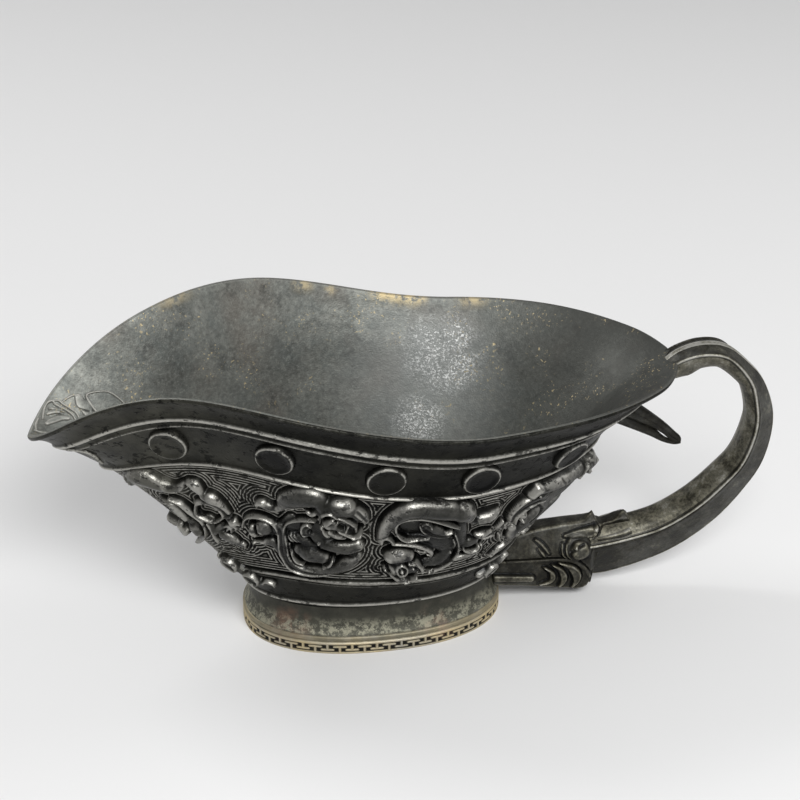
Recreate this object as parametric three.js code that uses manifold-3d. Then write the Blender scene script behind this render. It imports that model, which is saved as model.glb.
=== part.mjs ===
// A bronze pouring wine cup in the archaistic Chinese style: a boat-shaped bowl with a long
// spout, a hollow oval foot, a loop handle that ends in a dragon's head, studs under the rim
// and hornless dragons climbing round the body in high relief.
// Millimetres, +Z up. +X runs along the cup from the spout to the handle, the foot stands on
// z = 0, and the origin is the middle of the box round the cup, on the floor.
import * as THREE from 'three';
import { mergeVertices } from 'three/addons/utils/BufferGeometryUtils.js';
import Module from 'manifold-3d';

// Bowl: plan of the rim and its rising and falling edge
const BOWL_LENGTH = 154.6;
const BOWL_WIDTH = 75.4;
const SPOUT_TIP_HEIGHT = 55.7;
const SHOULDER_HEIGHT = 77;
const WAIST_HEIGHT = 66.3;
const TAIL_HEIGHT = 63;
const LIP_THICKNESS = 1.5;
const WALL_THICKNESS = 2.3;
const FLOOR_THICKNESS = 3;

// Foot: a hollow oval ring under the bowl, behind the middle of the cup
const FOOT_CENTRE_FROM_SPOUT = 80.1;
const NECK_LENGTH = 59.2;
const NECK_WIDTH = 35.4;
const FOOT_HEIGHT = 12;
const FOOT_FLARE = 2.3;
const FOOT_BORDER_HEIGHT = 2.9;
const FOOT_WALL = 2.2;

// Raised lines round the body, as distances down from the rim or shares of the wall
const FIRST_RIDGE_DROP = 6.4;
const SECOND_RIDGE_DROP = 8.8;
const RIDGE_HEIGHT = 0.6;
const RIDGE_HALF_WIDTH = 0.65;
const BELT_TOP = 0.335;
const BELT_TOP_RISE = 0.065;
const BELT_BOTTOM = 0.83;
const NECK_RIDGE = 0.97;
const LIP_HOLLOW = 0.4;

// Studs: five low round bosses on each side, between the second ridge and the belt
const STUD_DIAMETER = 9.7;
const STUD_HEIGHT = 1.2;
const STUD_STATIONS = [25, 38.6, 50.5, 61.4, 76];

// Handle: a strap with a sharp edge, from the tail of the rim down to the foot
const HANDLE_REACH = 25.4;
const HANDLE_WIDTH = 10;
const HANDLE_TOP_WIDTH = 7.2;
const HEAD_LENGTH = 33.5;
const HEAD_WIDTH = 11;
const HEAD_TOP_WIDTH = 2.4;
const HEAD_HEIGHT = 22;
const HEAD_RIDGE_HEIGHT = 13.5;
const JAW_LENGTH = 22.8;
const JAW_WIDTH = 12.6;
const JAW_HEIGHT = 8;
const HANDLE_FLOOR_CLEARANCE = 2.5;

// Tail curl under the rim, inside the handle
const CURL_TIP_REACH = 2.6;
const CURL_TIP_HEIGHT = 39.8;
const CURL_THICKNESS = 3.4;

// Clearance between pieces that are brazed together
const GAP = 0.3;

// How finely the forms are faceted
const AROUND_BOWL = 44;
const AROUND_FOOT = 32;
const PROFILE_STEPS = 60;

// Places that follow from the sizes above
const overallLength = BOWL_LENGTH + HANDLE_REACH;
const spoutX = -overallLength / 2;
const tailX = spoutX + BOWL_LENGTH;
const handleX = overallLength / 2;
const footX = spoutX + FOOT_CENTRE_FROM_SPOUT;
const footEndX = footX + NECK_LENGTH / 2 + FOOT_FLARE;
const neckZ = FOOT_HEIGHT + GAP;
const floorZ = neckZ + FLOOR_THICKNESS;

const BRONZE_DARK = { color: 0x3a3c3a, roughness: 0.38, metalness: 0.9 };
const BRONZE_WORN = { color: 0x5a5850, roughness: 0.42, metalness: 0.9 };
const BRONZE_FOOT = { color: 0x6a6656, roughness: 0.5, metalness: 0.85 };
const BRONZE_RELIEF = { color: 0x44453f, roughness: 0.32, metalness: 0.92 };

const wasm = await Module();
wasm.setup();

// Smooth step from 0 to 1
function ease(t) {
  return (1 - Math.cos(Math.PI * Math.min(Math.max(t, 0), 1))) / 2;
}

// Value of a smooth curve through evenly spaced values, at t from 0 to 1
function along(values, t) {
  const last = values.length - 1;
  const place = Math.min(Math.max(t, 0), 1) * last;
  const i = Math.min(Math.floor(place), last - 1);
  const w = place - i;
  const value = (j) => values[Math.min(Math.max(j, 0), last)];
  const [p0, p1, p2, p3] = [value(i - 1), value(i), value(i + 1), value(i + 2)];
  const v0 = (p2 - p0) / 2;
  const v1 = (p3 - p1) / 2;
  return (2 * p1 - 2 * p2 + v0 + v1) * w ** 3 + (3 * p2 - 3 * p1 - 2 * v0 - v1) * w ** 2 + v0 * w + p1;
}

// Half widths of the rim's plan from spout to tail, as shares of the widest
const PLAN = [0, 0.295, 0.59, 0.955, 0.965, 0.8, 0.43, 0];
const SHOULDER_STATION = 0.345;
const WAIST_STATION = 0.62;

// Point of the rim at an angle: 0 is the spout's tip, PI the tail, -Y is between them
function rimPoint(angle) {
  const s = angle <= Math.PI ? angle / Math.PI : 2 - angle / Math.PI;
  const side = angle <= Math.PI ? -1 : 1;
  const x = spoutX + BOWL_LENGTH * ease(s);
  const y = (side * BOWL_WIDTH * along(PLAN, s)) / 2;
  const toWaist = (s - SHOULDER_STATION) / (WAIST_STATION - SHOULDER_STATION);
  const toTail = (s - WAIST_STATION) / (1 - WAIST_STATION);
  const z = SPOUT_TIP_HEIGHT
    + (SHOULDER_HEIGHT - SPOUT_TIP_HEIGHT) * ease(s / SHOULDER_STATION)
    + (WAIST_HEIGHT - SHOULDER_HEIGHT) * ease(toWaist)
    + (TAIL_HEIGHT - WAIST_HEIGHT) * ease(toTail);
  return new THREE.Vector3(x, y, z);
}

// Point of an oval a little squarer than an ellipse, the plan of the neck and foot
const OVAL_POWER = 2.25;

function ovalPoint(angle, halfLength, halfWidth, z) {
  const bend = (v) => Math.sign(v) * Math.abs(v) ** (2 / OVAL_POWER);
  return new THREE.Vector3(footX - halfLength * bend(Math.cos(angle)), -halfWidth * bend(Math.sin(angle)), z);
}

// Wall profile from neck to rim: how far out (first) and up (second) its two handles lie
const END_PULLS = [[0.24, 0.3], [0.62, 0.93]];
const SIDE_PULLS = [[0.35, 0.2], [0.5, 0.6]];

function pull(t, first, second) {
  return 3 * (1 - t) ** 2 * t * first + 3 * (1 - t) * t * t * second + t ** 3;
}

// The outer wall's profile at an angle, from rim to neck, with the distance at each point
const profiles = new Map();

function profileAt(angle) {
  if (profiles.has(angle)) return profiles.get(angle);
  const rim = rimPoint(angle);
  const neck = ovalPoint(angle, NECK_LENGTH / 2, NECK_WIDTH / 2, neckZ);
  const end = Math.cos(angle) ** 2;
  const points = [];
  const lengths = [];
  for (let i = 0; i <= PROFILE_STEPS; i++) {
    const t = 1 - i / PROFILE_STEPS;
    const out = end * pull(t, END_PULLS[0][0], END_PULLS[1][0])
      + (1 - end) * pull(t, SIDE_PULLS[0][0], SIDE_PULLS[1][0]);
    const up = end * pull(t, END_PULLS[0][1], END_PULLS[1][1])
      + (1 - end) * pull(t, SIDE_PULLS[0][1], SIDE_PULLS[1][1]);
    const point = new THREE.Vector3(
      neck.x + (rim.x - neck.x) * out,
      neck.y + (rim.y - neck.y) * out,
      neckZ + (rim.z - neckZ) * up,
    );
    lengths.push(i === 0 ? 0 : lengths[i - 1] + point.distanceTo(points[i - 1]));
    points.push(point);
  }
  const profile = { points, lengths, total: lengths[PROFILE_STEPS] };
  profiles.set(angle, profile);
  return profile;
}

// Point of the outer wall at an angle and a share of the way from the rim to the neck
function wallPoint(angle, share) {
  const { points, lengths, total } = profileAt(angle);
  const distance = Math.min(Math.max(share, 0), 1) * total;
  let i = 1;
  while (i < PROFILE_STEPS && lengths[i] < distance) i++;
  const part = (distance - lengths[i - 1]) / (lengths[i] - lengths[i - 1]);
  return points[i - 1].clone().lerp(points[i], part);
}

// Outward direction of the wall there
function wallNormal(angle, share) {
  const step = 0.02;
  const around = wallPoint(angle + step, share).sub(wallPoint(angle - step, share));
  const down = wallPoint(angle, Math.min(share + step, 1)).sub(wallPoint(angle, Math.max(share - step, 0)));
  return down.cross(around).normalize();
}

function onWall(angle, share, lift) {
  return wallPoint(angle, share).addScaledVector(wallNormal(angle, share), lift);
}

// Share of the wall above the decorated belt: the belt's top edge rises towards the spout
function beltTop(angle) {
  const spoutward = Math.max(Math.cos(angle), 0) ** 2;
  return BELT_TOP - BELT_TOP_RISE * spoutward;
}

// Closed body through rings of points, with a fan over each end or joined end to end
function loft(rings, joined = false) {
  const count = rings[0].length;
  const points = rings.flat();
  const faces = [];
  const spans = joined ? rings.length : rings.length - 1;
  for (let r = 0; r < spans; r++) {
    const here = r * count;
    const next = ((r + 1) % rings.length) * count;
    for (let i = 0; i < count; i++) {
      const j = (i + 1) % count;
      faces.push(here + i, here + j, next + j, here + i, next + j, next + i);
    }
  }
  if (!joined) {
    const middle = (ring) => ring.reduce((sum, p) => sum.add(p), new THREE.Vector3()).divideScalar(count);
    const lastRing = (rings.length - 1) * count;
    const first = points.push(middle(rings[0])) - 1;
    const last = points.push(middle(rings[rings.length - 1])) - 1;
    for (let i = 0; i < count; i++) {
      const j = (i + 1) % count;
      faces.push(first, j, i, last, lastRing + i, lastRing + j);
    }
  }
  const geometry = new THREE.BufferGeometry().setFromPoints(points);
  geometry.setIndex(faces);
  return geometry;
}

// Conversions between a geometry and a solid that can be cut and joined
function solid(geometry) {
  const bare = geometry.clone();
  bare.deleteAttribute('normal');
  bare.deleteAttribute('uv');
  const merged = mergeVertices(bare, 1e-4);
  const faces = [];
  for (let i = 0; i < merged.index.count; i += 3) {
    const [a, b, c] = [0, 1, 2].map((k) => merged.index.getX(i + k));
    if (a !== b && b !== c && c !== a) faces.push([a, b, c]);
  }
  const positions = merged.attributes.position.array;
  const body = closedBody(positions, faces);
  if (body.volume() > 0) return body;
  return closedBody(positions, faces.map(([a, b, c]) => [b, a, c]));
}

function closedBody(positions, faces) {
  return new wasm.Manifold(new wasm.Mesh({
    numProp: 3,
    vertProperties: new Float32Array(positions),
    triVerts: new Uint32Array(faces.flat()),
  }));
}

function geometryOf(body) {
  const mesh = body.getMesh();
  const geometry = new THREE.BufferGeometry();
  geometry.setAttribute('position', new THREE.BufferAttribute(mesh.vertProperties, 3));
  geometry.setIndex(new THREE.BufferAttribute(mesh.triVerts, 1));
  return geometry;
}

function joinAll(bodies) {
  return bodies.reduce((sum, body) => sum.add(body));
}

const cup = new THREE.Group();

function addPiece(name, body, finish) {
  const geometry = geometryOf(body);
  geometry.computeVertexNormals();
  const mesh = new THREE.Mesh(geometry, new THREE.MeshStandardMaterial(finish));
  mesh.name = name;
  cup.add(mesh);
}

const angles = (count) => Array.from({ length: count }, (_, i) => (2 * Math.PI * i) / count);

// The bowl

// Rings of the outer wall from neck to rim, each a share of the wall and a height above it
function outerRings(lift) {
  const turns = angles(AROUND_BOWL);
  const ring = (shareAt, height) => turns.map((a) => onWall(a, shareAt(a), height + lift));
  const dropped = (drop) => (a) => drop / profileAt(a).total;
  const ridge = (middle) => [
    ring((a) => middle(a) + RIDGE_HALF_WIDTH / profileAt(a).total, 0),
    ring(middle, RIDGE_HEIGHT),
    ring((a) => middle(a) - RIDGE_HALF_WIDTH / profileAt(a).total, 0),
  ];
  const beltDepth = (part) => (a) => beltTop(a) + (BELT_BOTTOM - beltTop(a)) * part;
  const studBand = (a) => (SECOND_RIDGE_DROP / profileAt(a).total + beltTop(a)) / 2;
  const plainBand = () => (BELT_BOTTOM + NECK_RIDGE) / 2;
  return [
    ring(() => 1, 0),
    ...ridge(() => NECK_RIDGE),
    ring(plainBand, 0),
    ...ridge(() => BELT_BOTTOM),
    ring(beltDepth(0.75), 0),
    ring(beltDepth(0.5), 0),
    ring(beltDepth(0.25), 0),
    ...ridge(beltTop),
    ring(studBand, 0),
    ...ridge(dropped(SECOND_RIDGE_DROP)),
    ...ridge(dropped(FIRST_RIDGE_DROP)),
    ring(dropped(FIRST_RIDGE_DROP / 2), -LIP_HOLLOW),
    ring(dropped(LIP_THICKNESS / 2), 0),
    ring(() => 0, -LIP_THICKNESS / 6),
  ];
}

// Rings of the inside from the lip down to the floor
function innerRings() {
  const turns = angles(AROUND_BOWL);
  const inside = (share, thickness) => turns.map((a) => onWall(a, share, -thickness));
  const shares = [0.06, 0.16, 0.3, 0.44, 0.58, 0.7, 0.8, 0.89];
  const thicknessAt = (share) => LIP_THICKNESS + (WALL_THICKNESS - LIP_THICKNESS) * ease(share * 4);
  const floorHalfLength = NECK_LENGTH / 2 - 2 * WALL_THICKNESS;
  const floorHalfWidth = NECK_WIDTH / 2 - 2 * WALL_THICKNESS;
  return [
    inside(0, LIP_THICKNESS * 0.8),
    ...shares.map((share) => inside(share, thicknessAt(share))),
    turns.map((a) => ovalPoint(a, floorHalfLength, floorHalfWidth, floorZ)),
  ];
}

function makeBowl() {
  const turns = angles(AROUND_BOWL);
  const base = turns.map((a) => ovalPoint(a, NECK_LENGTH / 4, NECK_WIDTH / 4, neckZ));
  return solid(loft([base, ...outerRings(0), ...innerRings()]));
}

// The bowl's outer form grown by the clearance: what is brazed on is cut by it
function makeBowlForm() {
  return solid(loft(outerRings(GAP)));
}

// The foot

// Foot profile: how far it stands out from the neck, and how high
function footProfile() {
  const coveTop = FOOT_HEIGHT;
  const stepTop = FOOT_BORDER_HEIGHT + 1.1;
  const cove = (t) => [FOOT_FLARE * 0.85 * t ** 2.6, coveTop + (stepTop - coveTop) * t];
  return [
    ...[0, 0.35, 0.7, 1].map(cove),
    [FOOT_FLARE * 0.98, stepTop - 0.4],
    [FOOT_FLARE * 0.88, FOOT_BORDER_HEIGHT + 0.3],
    [FOOT_FLARE, FOOT_BORDER_HEIGHT],
    [FOOT_FLARE, 0],
    [FOOT_FLARE - FOOT_WALL, 0],
    [FOOT_FLARE - FOOT_WALL, FOOT_BORDER_HEIGHT],
    [-FOOT_WALL, FOOT_HEIGHT * 0.6],
    [-FOOT_WALL, FOOT_HEIGHT],
  ];
}

function makeFoot() {
  const turns = angles(AROUND_FOOT);
  const rings = footProfile().map(([out, z]) => turns.map(
    (a) => ovalPoint(a, NECK_LENGTH / 2 + out, NECK_WIDTH / 2 + out, z),
  ));
  return solid(loft(rings, true));
}

function makeFootForm() {
  const turns = angles(AROUND_FOOT);
  const rings = footProfile().slice(0, 8).map(([out, z]) => turns.map(
    (a) => ovalPoint(a, NECK_LENGTH / 2 + out + GAP, NECK_WIDTH / 2 + out + GAP, z),
  ));
  return solid(loft(rings));
}

// Reliefs on the wall
// Their points are percentages: from the spout to the tail, then from the rim to the neck

const chart = ([u, v]) => [(Math.PI * u) / 100, v / 100];

// A rounded stroke laid on the wall through its points, with a radius at its start, middle
// and end, and its middle line lifted off the wall
function stroke(points, radii, lift = 0, sides = 5) {
  const curve = new THREE.CatmullRomCurve3(points.map(([u, v]) => new THREE.Vector3(u, v, 0)));
  const steps = Math.max(4, points.length);
  const line = [];
  for (let i = 0; i <= steps; i++) {
    const at = curve.getPoint(i / steps);
    const [angle, share] = chart([at.x, at.y]);
    line.push({
      middle: onWall(angle, share, lift),
      up: wallNormal(angle, share),
      radius: along(radii, i / steps),
    });
  }
  return sweep(line, sides);
}

// Closed body along a line of { middle, up, radius }, with rounded ends
function sweep(line, sides) {
  const last = line.length - 1;
  const ahead = line.map((_, i) => line[Math.min(i + 1, last)].middle.clone()
    .sub(line[Math.max(i - 1, 0)].middle).normalize());
  const ring = (i, shift, scale) => {
    const { middle, up, radius } = line[i];
    const across = ahead[i].clone().cross(up).normalize();
    const over = across.clone().cross(ahead[i]).normalize();
    return Array.from({ length: sides }, (_, k) => {
      const turn = (2 * Math.PI * k) / sides;
      return middle.clone()
        .addScaledVector(ahead[i], shift * radius)
        .addScaledVector(across, Math.cos(turn) * radius * scale)
        .addScaledVector(over, Math.sin(turn) * radius * scale);
    });
  };
  const rings = [
    ring(0, -0.75, 0.55),
    ...line.map((_, i) => ring(i, 0, 1)),
    ring(last, 0.75, 0.55),
  ];
  return solid(loft(rings));
}

// Turn from straight up to the wall's outward direction
function wallTurn(angle, share) {
  return new THREE.Quaternion().setFromUnitVectors(new THREE.Vector3(0, 0, 1), wallNormal(angle, share));
}

// A rounded knob on the wall: radius along the wall and height above it
function knob([u, v], radius, height) {
  const [angle, share] = chart([u, v]);
  const ball = new THREE.SphereGeometry(1, 7, 4);
  ball.rotateX(Math.PI / 2);
  const frame = new THREE.Matrix4();
  const turn = wallTurn(angle, share);
  frame.compose(onWall(angle, share, 0), turn, new THREE.Vector3(radius, radius, height));
  return solid(ball.applyMatrix4(frame));
}

// The dragon on the spout's shoulder: muzzle, haunch, ring curl, whisker and paws
function spoutDragon() {
  return [
    stroke([[11.8, 32.1], [15.5, 33.5], [18.7, 39.4], [22.8, 39]], [2.2, 2.5, 1.5], 0.4),
    knob([24.2, 40], 2.1, 2.4),
    stroke([[24, 43], [25.6, 46], [26.6, 50], [26.9, 54]], [1.8, 1.8, 1.3], 0.3),
    stroke([[19.8, 53], [21.6, 48], [25.2, 48.6], [25.4, 54.4], [20.8, 55.6]], [0.9, 0.9, 0.9], 0.7, 4),
    stroke([[13.1, 45.2], [17.4, 48], [19.4, 57], [16.1, 65], [9.5, 68.8]], [1.1, 1.2, 0.8], 0.6, 4),
    stroke([[5, 59], [9, 62.5], [13, 60.6], [17, 62]], [1.9, 2.1, 1.6], 0.2),
    stroke([[20.2, 57], [20.4, 61.5], [22.5, 64.3], [24.8, 68.7]], [1.3, 1.7, 0.9], 0.2, 4),
    knob([26.7, 57.4], 2.1, 2.3),
  ];
}

// The second dragon: hooked mane, looped limbs, haunch and a head that looks to the tail
function shoulderDragon() {
  return [
    stroke([[33.1, 48.2], [34.3, 45.1], [36, 46.9], [38.5, 42.5]], [0.9, 1.3, 1.5], 0.6, 4),
    stroke([[37.5, 43], [40, 38.8], [43.4, 39.2]], [2.4, 3.1, 2.5], 0.3),
    stroke(
      [[28.7, 58.1], [31, 52.8], [34.5, 53.8], [35, 60], [34.1, 70], [36.2, 77.2], [41.6, 75.6]],
      [0.9, 1.1, 1.1],
      0.6,
      4,
    ),
    knob([32.6, 57.8], 2.6, 2.5),
    knob([30.4, 60], 1.6, 2),
    stroke([[32.6, 60], [37.6, 61.8], [43.2, 60.5]], [1.4, 1.8, 1.6], 0.4, 4),
    knob([40, 57], 2.5, 2.4),
    stroke([[37.6, 76.2], [42, 73.6], [45, 69], [46.3, 62.8]], [2, 2.4, 2], 0.3),
    knob([39.6, 66.4], 3.3, 3.2),
    knob([44.9, 40], 3.9, 3.7),
    stroke([[46.6, 39.6], [47.7, 42.8], [48.1, 46.4]], [1.9, 1.8, 1], 0.5, 4),
    stroke([[43.2, 44.4], [44.8, 48], [46.7, 51.4]], [2.8, 2.6, 1.9], 1),
    stroke([[42.7, 49.5], [43.4, 55.5], [44.6, 61.5]], [1.9, 2.1, 2.1], 0.3, 4),
  ];
}

// The third dragon: arched body, head turned down, looped limb, tongue and forepaws
function flankDragon() {
  return [
    stroke([[50, 57.4], [50.6, 46], [53, 38.2], [58.2, 38.6]], [1.5, 2.2, 2.6], 0.5),
    stroke([[57.6, 38], [60, 39], [61.2, 44]], [2.8, 3.1, 2.2], 0.6),
    stroke([[60.8, 45], [63.7, 46.5], [66, 44.8]], [1.8, 1.8, 1], 0.4, 4),
    stroke([[60.8, 48], [61.7, 57], [63, 61.8], [65.7, 65.4]], [1.5, 1.6, 1.1], 0.3, 4),
    stroke([[62, 57.4], [65.2, 57.8], [67.6, 58.8]], [1.2, 1.2, 0.7], 0.4, 4),
    stroke([[56.4, 53], [53, 53.6], [52, 44], [55.6, 41.4], [60.6, 49.4]], [0.9, 1, 0.9], 0.9, 4),
    stroke([[50, 56.8], [53.2, 57.2], [56, 59.4], [57, 63]], [1.4, 1.4, 1.2], 0.4, 4),
    stroke([[54.8, 46.4], [57.8, 51.6], [58.8, 58], [60, 64]], [1.6, 2.2, 1.9], 0, 4),
    stroke([[60.4, 54], [61.8, 66], [57.4, 75.4]], [1, 1.2, 0.9], 0.4, 4),
    knob([52.2, 63], 3.3, 3.5),
    stroke([[51.8, 65.4], [52.9, 71], [53.4, 77.2]], [2.8, 2.9, 1.8], 0.9),
    stroke([[53.4, 72], [55, 70.8], [56, 73.2]], [1.3, 1.3, 1.1], 0.5, 4),
    knob([50.4, 70.6], 1.8, 2.4),
  ];
}

// The dragon near the tail: it climbs to the rim with its head under the last stud
function tailDragon() {
  return [
    stroke([[71.6, 61], [71.6, 50], [74, 44.5], [79, 42.5], [85, 41]], [1.7, 2.2, 2.4], 0.4),
    knob([87.5, 40.5], 3.6, 3.6),
    stroke([[76, 64], [79, 58], [83, 55], [86, 50], [87, 45]], [1.4, 1.9, 1.6], 0.3, 4),
    stroke([[71.9, 62.5], [73.5, 66], [77, 69.5]], [1.9, 1.6, 0.9], 0.3, 4),
    stroke([[84, 55.5], [87.5, 64], [86, 72]], [1.6, 1.8, 1], 0.2, 4),
  ];
}

// Small curling chains low on the plain band, near the spout end and the tail end
function spoutChain() {
  return [
    stroke([[13, 78], [18, 84], [22, 88], [26.5, 88.5]], [1.4, 1.6, 1.1], 0.2, 4),
    knob([16, 80], 1.9, 2.2),
    knob([21, 86.5], 1.9, 2.2),
  ];
}

function tailChain() {
  return [
    stroke([[73.5, 90.5], [77.5, 88.5], [81, 86]], [1.1, 1.5, 1.2], 0.2, 4),
    knob([76.5, 88.7], 1.8, 2.1),
  ];
}

// A stud: a low dome on a short skirt
function makeStud(station) {
  const angle = (Math.PI * station) / 100;
  const share = (SECOND_RIDGE_DROP / profileAt(angle).total + beltTop(angle)) / 2;
  const radius = STUD_DIAMETER / 2;
  const dome = [0, 0.5, 1].map((t) => {
    const turn = (t * Math.PI) / 2;
    return new THREE.Vector2(radius * Math.sin(turn), GAP + STUD_HEIGHT * Math.cos(turn) ** 0.8);
  });
  const depth = radius / 2;
  const outline = [new THREE.Vector2(0, -depth), new THREE.Vector2(radius, -depth), ...dome.reverse()];
  const geometry = new THREE.LatheGeometry(outline, 10);
  geometry.rotateX(Math.PI / 2);
  geometry.applyQuaternion(wallTurn(angle, share));
  geometry.translate(...wallPoint(angle, share));
  return solid(geometry);
}

// The handle

// Ridge line of the strap from the rim's tail to the head: along the cup as a share from
// the foot to the handle's bend, up as a share of the tail's height, then the depth of the
// strap outside and inside the ridge line
const HANDLE_LINE = [
  [0.631, 1.04, 1.2, 6.2],
  [0.712, 1.05, 1.2, 5.4],
  [0.797, 1.03, 1.3, 4.7],
  [0.871, 0.942, 2.2, 3.3],
  [0.903, 0.857, 3.8, 2.6],
  [0.918, 0.721, 5.5, 2.2],
  [0.882, 0.573, 6.9, 2.4],
  [0.815, 0.473, 8, 2.7],
  [0.718, 0.372, 9.1, 3],
  [0.597, 0.292, 10, 3.3],
  [0.473, 0.241, 10.4, 3.5],
  [0.36, 0.225, 11, 3.8],
];
const HANDLE_STEPS = 22;

function handlePlace(t) {
  const value = (column) => along(HANDLE_LINE.map((row) => row[column]), t);
  const x = footEndX + (handleX - footEndX) * value(0);
  return { point: new THREE.Vector3(x, 0, TAIL_HEIGHT * value(1)), outer: value(2), inner: value(3) };
}

// Section of the strap: a sharp outer edge, a narrow inner face and a bead on each side
function handleSection(t) {
  const step = 0.01;
  const { point, outer, inner } = handlePlace(t);
  const ahead = handlePlace(t + step).point.sub(handlePlace(t - step).point).normalize();
  const out = new THREE.Vector3(-ahead.z, 0, ahead.x);
  const half = (HANDLE_TOP_WIDTH + (HANDLE_WIDTH - HANDLE_TOP_WIDTH) * ease(t * 3)) / 2;
  const corners = [
    [outer, 0.12], [outer * 0.45, 0.62], [outer * 0.08, 0.93], [0, 1], [-inner * 0.12, 0.93],
    [-inner * 0.9, 0.3],
  ];
  const near = corners.map(([n, w]) => [n, -w * half]);
  const far = corners.map(([n, w]) => [n, w * half]).reverse();
  const place = ([n, y]) => point.clone().addScaledVector(out, n).setY(y);
  return [...near, ...far].map(place);
}

function makeStrap() {
  const rings = [];
  for (let i = 0; i <= HANDLE_STEPS; i++) rings.push(handleSection(i / HANDLE_STEPS));
  return solid(loft(rings));
}

// Flat outline in the plane of the handle, as thick as width, with rounded edges
function slab(shape, width, bevel) {
  const outline = shape.getPoints(5);
  if (outline[0].distanceTo(outline[outline.length - 1]) < 0.01) outline.pop();
  const box = new THREE.Box2().setFromPoints(outline);
  const centre = box.getCenter(new THREE.Vector2());
  const size = box.getSize(new THREE.Vector2());
  const ring = (y, inset) => outline.map((p) => new THREE.Vector3(
    centre.x + (p.x - centre.x) * (1 - (2 * inset) / size.x),
    y,
    centre.y + (p.y - centre.y) * (1 - (2 * inset) / size.y),
  ));
  const half = width / 2;
  return solid(loft([
    ring(-half, bevel),
    ring(-half + bevel * 0.3, bevel * 0.3),
    ring(-half + bevel, 0),
    ring(half - bevel, 0),
    ring(half - bevel * 0.3, bevel * 0.3),
    ring(half, bevel),
  ]));
}

// Half width of the head at a height: upright up to its ridge, then slanting in to the crest
function headHalf(z) {
  const slant = (z - HEAD_RIDGE_HEIGHT) / (HEAD_HEIGHT - HEAD_RIDGE_HEIGHT);
  return (HEAD_WIDTH - (HEAD_WIDTH - HEAD_TOP_WIDTH) * Math.min(Math.max(slant, 0), 1)) / 2;
}

const headX = (share) => footEndX + HEAD_LENGTH * share;

// Bar along the head whose section is the head's: cuts the slanted sides above the ridge
function makeHeadRoof() {
  const heights = [0, HEAD_RIDGE_HEIGHT, HEAD_HEIGHT];
  const start = headX(0);
  const end = headX(1.1);
  const ring = (x) => [
    ...heights.map((z) => new THREE.Vector3(x, -headHalf(z), z)),
    ...heights.toReversed().map((z) => new THREE.Vector3(x, headHalf(z), z)),
  ];
  return solid(loft([ring(start), ring(end)]));
}

// Head in profile: neck, brow, two crest points and the throat
function makeHead() {
  const top = HEAD_HEIGHT;
  const low = HANDLE_FLOOR_CLEARANCE;
  const x = headX;
  const shape = new THREE.Shape();
  shape.moveTo(x(0.06), low + 1);
  shape.lineTo(x(0.06), top * 0.8);
  shape.quadraticCurveTo(x(0.2), top * 0.9, x(0.36), top * 0.905);
  shape.quadraticCurveTo(x(0.5), top * 0.93, x(0.64), top * 0.95);
  shape.quadraticCurveTo(x(0.67), top * 0.96, x(0.7), top);
  shape.lineTo(x(0.745), top * 0.88);
  shape.quadraticCurveTo(x(0.87), top * 0.88, x(0.93), top * 0.985);
  shape.lineTo(x(0.98), top * 0.87);
  shape.lineTo(x(1), top * 0.3);
  shape.lineTo(x(0.75), low + 0.6);
  shape.quadraticCurveTo(x(0.66), low, x(0.54), low);
  shape.closePath();
  return slab(shape, HEAD_WIDTH, 1.6).intersect(makeHeadRoof());
}

// Lower jaw: a long plate that rises towards the foot and whose rounded end overlaps the strap
function makeJaw() {
  const low = HANDLE_FLOOR_CLEARANCE;
  const tall = JAW_HEIGHT;
  const bend = footEndX + JAW_LENGTH - tall / 2;
  const x = (share) => footEndX + JAW_LENGTH * share;
  const shape = new THREE.Shape();
  shape.moveTo(x(-0.04), low + tall * 0.42);
  shape.lineTo(x(-0.04), low + tall * 1.26);
  shape.quadraticCurveTo(x(0.5), low + tall * 1.22, bend, low + tall);
  shape.absarc(bend, low + tall / 2, tall / 2, Math.PI / 2, -Math.PI / 2, true);
  shape.closePath();
  return slab(shape, JAW_WIDTH, 1);
}

// A round bar on one side of the head: its points are shares of the head's length and
// height, and how far it stands out from the head's side
function headBar(side, points, radii) {
  const place = ([share, rise, out]) => {
    const z = HEAD_HEIGHT * rise;
    return new THREE.Vector3(headX(share), side * (headHalf(z) + out), z);
  };
  const curve = new THREE.CatmullRomCurve3(points.map(place));
  const steps = points.length;
  const up = new THREE.Vector3(0, side, 0);
  const line = Array.from({ length: steps + 1 }, (_, i) => ({
    middle: curve.getPoint(i / steps),
    up,
    radius: along(radii, i / steps),
  }));
  return sweep(line, 5);
}

function headBall(side, share, rise, radius, height) {
  const z = HEAD_HEIGHT * rise;
  const ball = new THREE.SphereGeometry(1, 7, 4);
  ball.scale(radius, height, radius);
  ball.translate(headX(share), side * headHalf(z), z);
  return solid(ball);
}

// Eye, brow curl, ridge line to the strap and cheek whiskers on one side
function headFeatures(side) {
  return [
    headBall(side, 0.58, 0.665, 2.3, 1.4),
    headBar(side, [[0.43, 0.82, -0.1], [0.52, 0.825, 0], [0.63, 0.835, 0], [0.71, 0.85, 0]], [0.6, 0.8, 0.9]),
    headBar(side, [[0.74, 0.765, 0], [0.86, 0.785, 0], [0.96, 0.835, 0.1]], [0.6, 0.8, 0.9]),
    headBar(side, [[0.03, 0.57, 0], [0.3, 0.55, 0], [0.54, 0.51, 0]], [0.6, 0.8, 0.7]),
  ];
}

function makeHandle(bowlForm, footForm) {
  return joinAll([makeStrap(), makeHead(), makeJaw(), ...headFeatures(-1), ...headFeatures(1)])
    .subtract(bowlForm)
    .subtract(footForm);
}

// Pointed tail curl: a dragon's tail that leaves the end of the bowl inside the handle, drops
// and turns out to its tip

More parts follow.
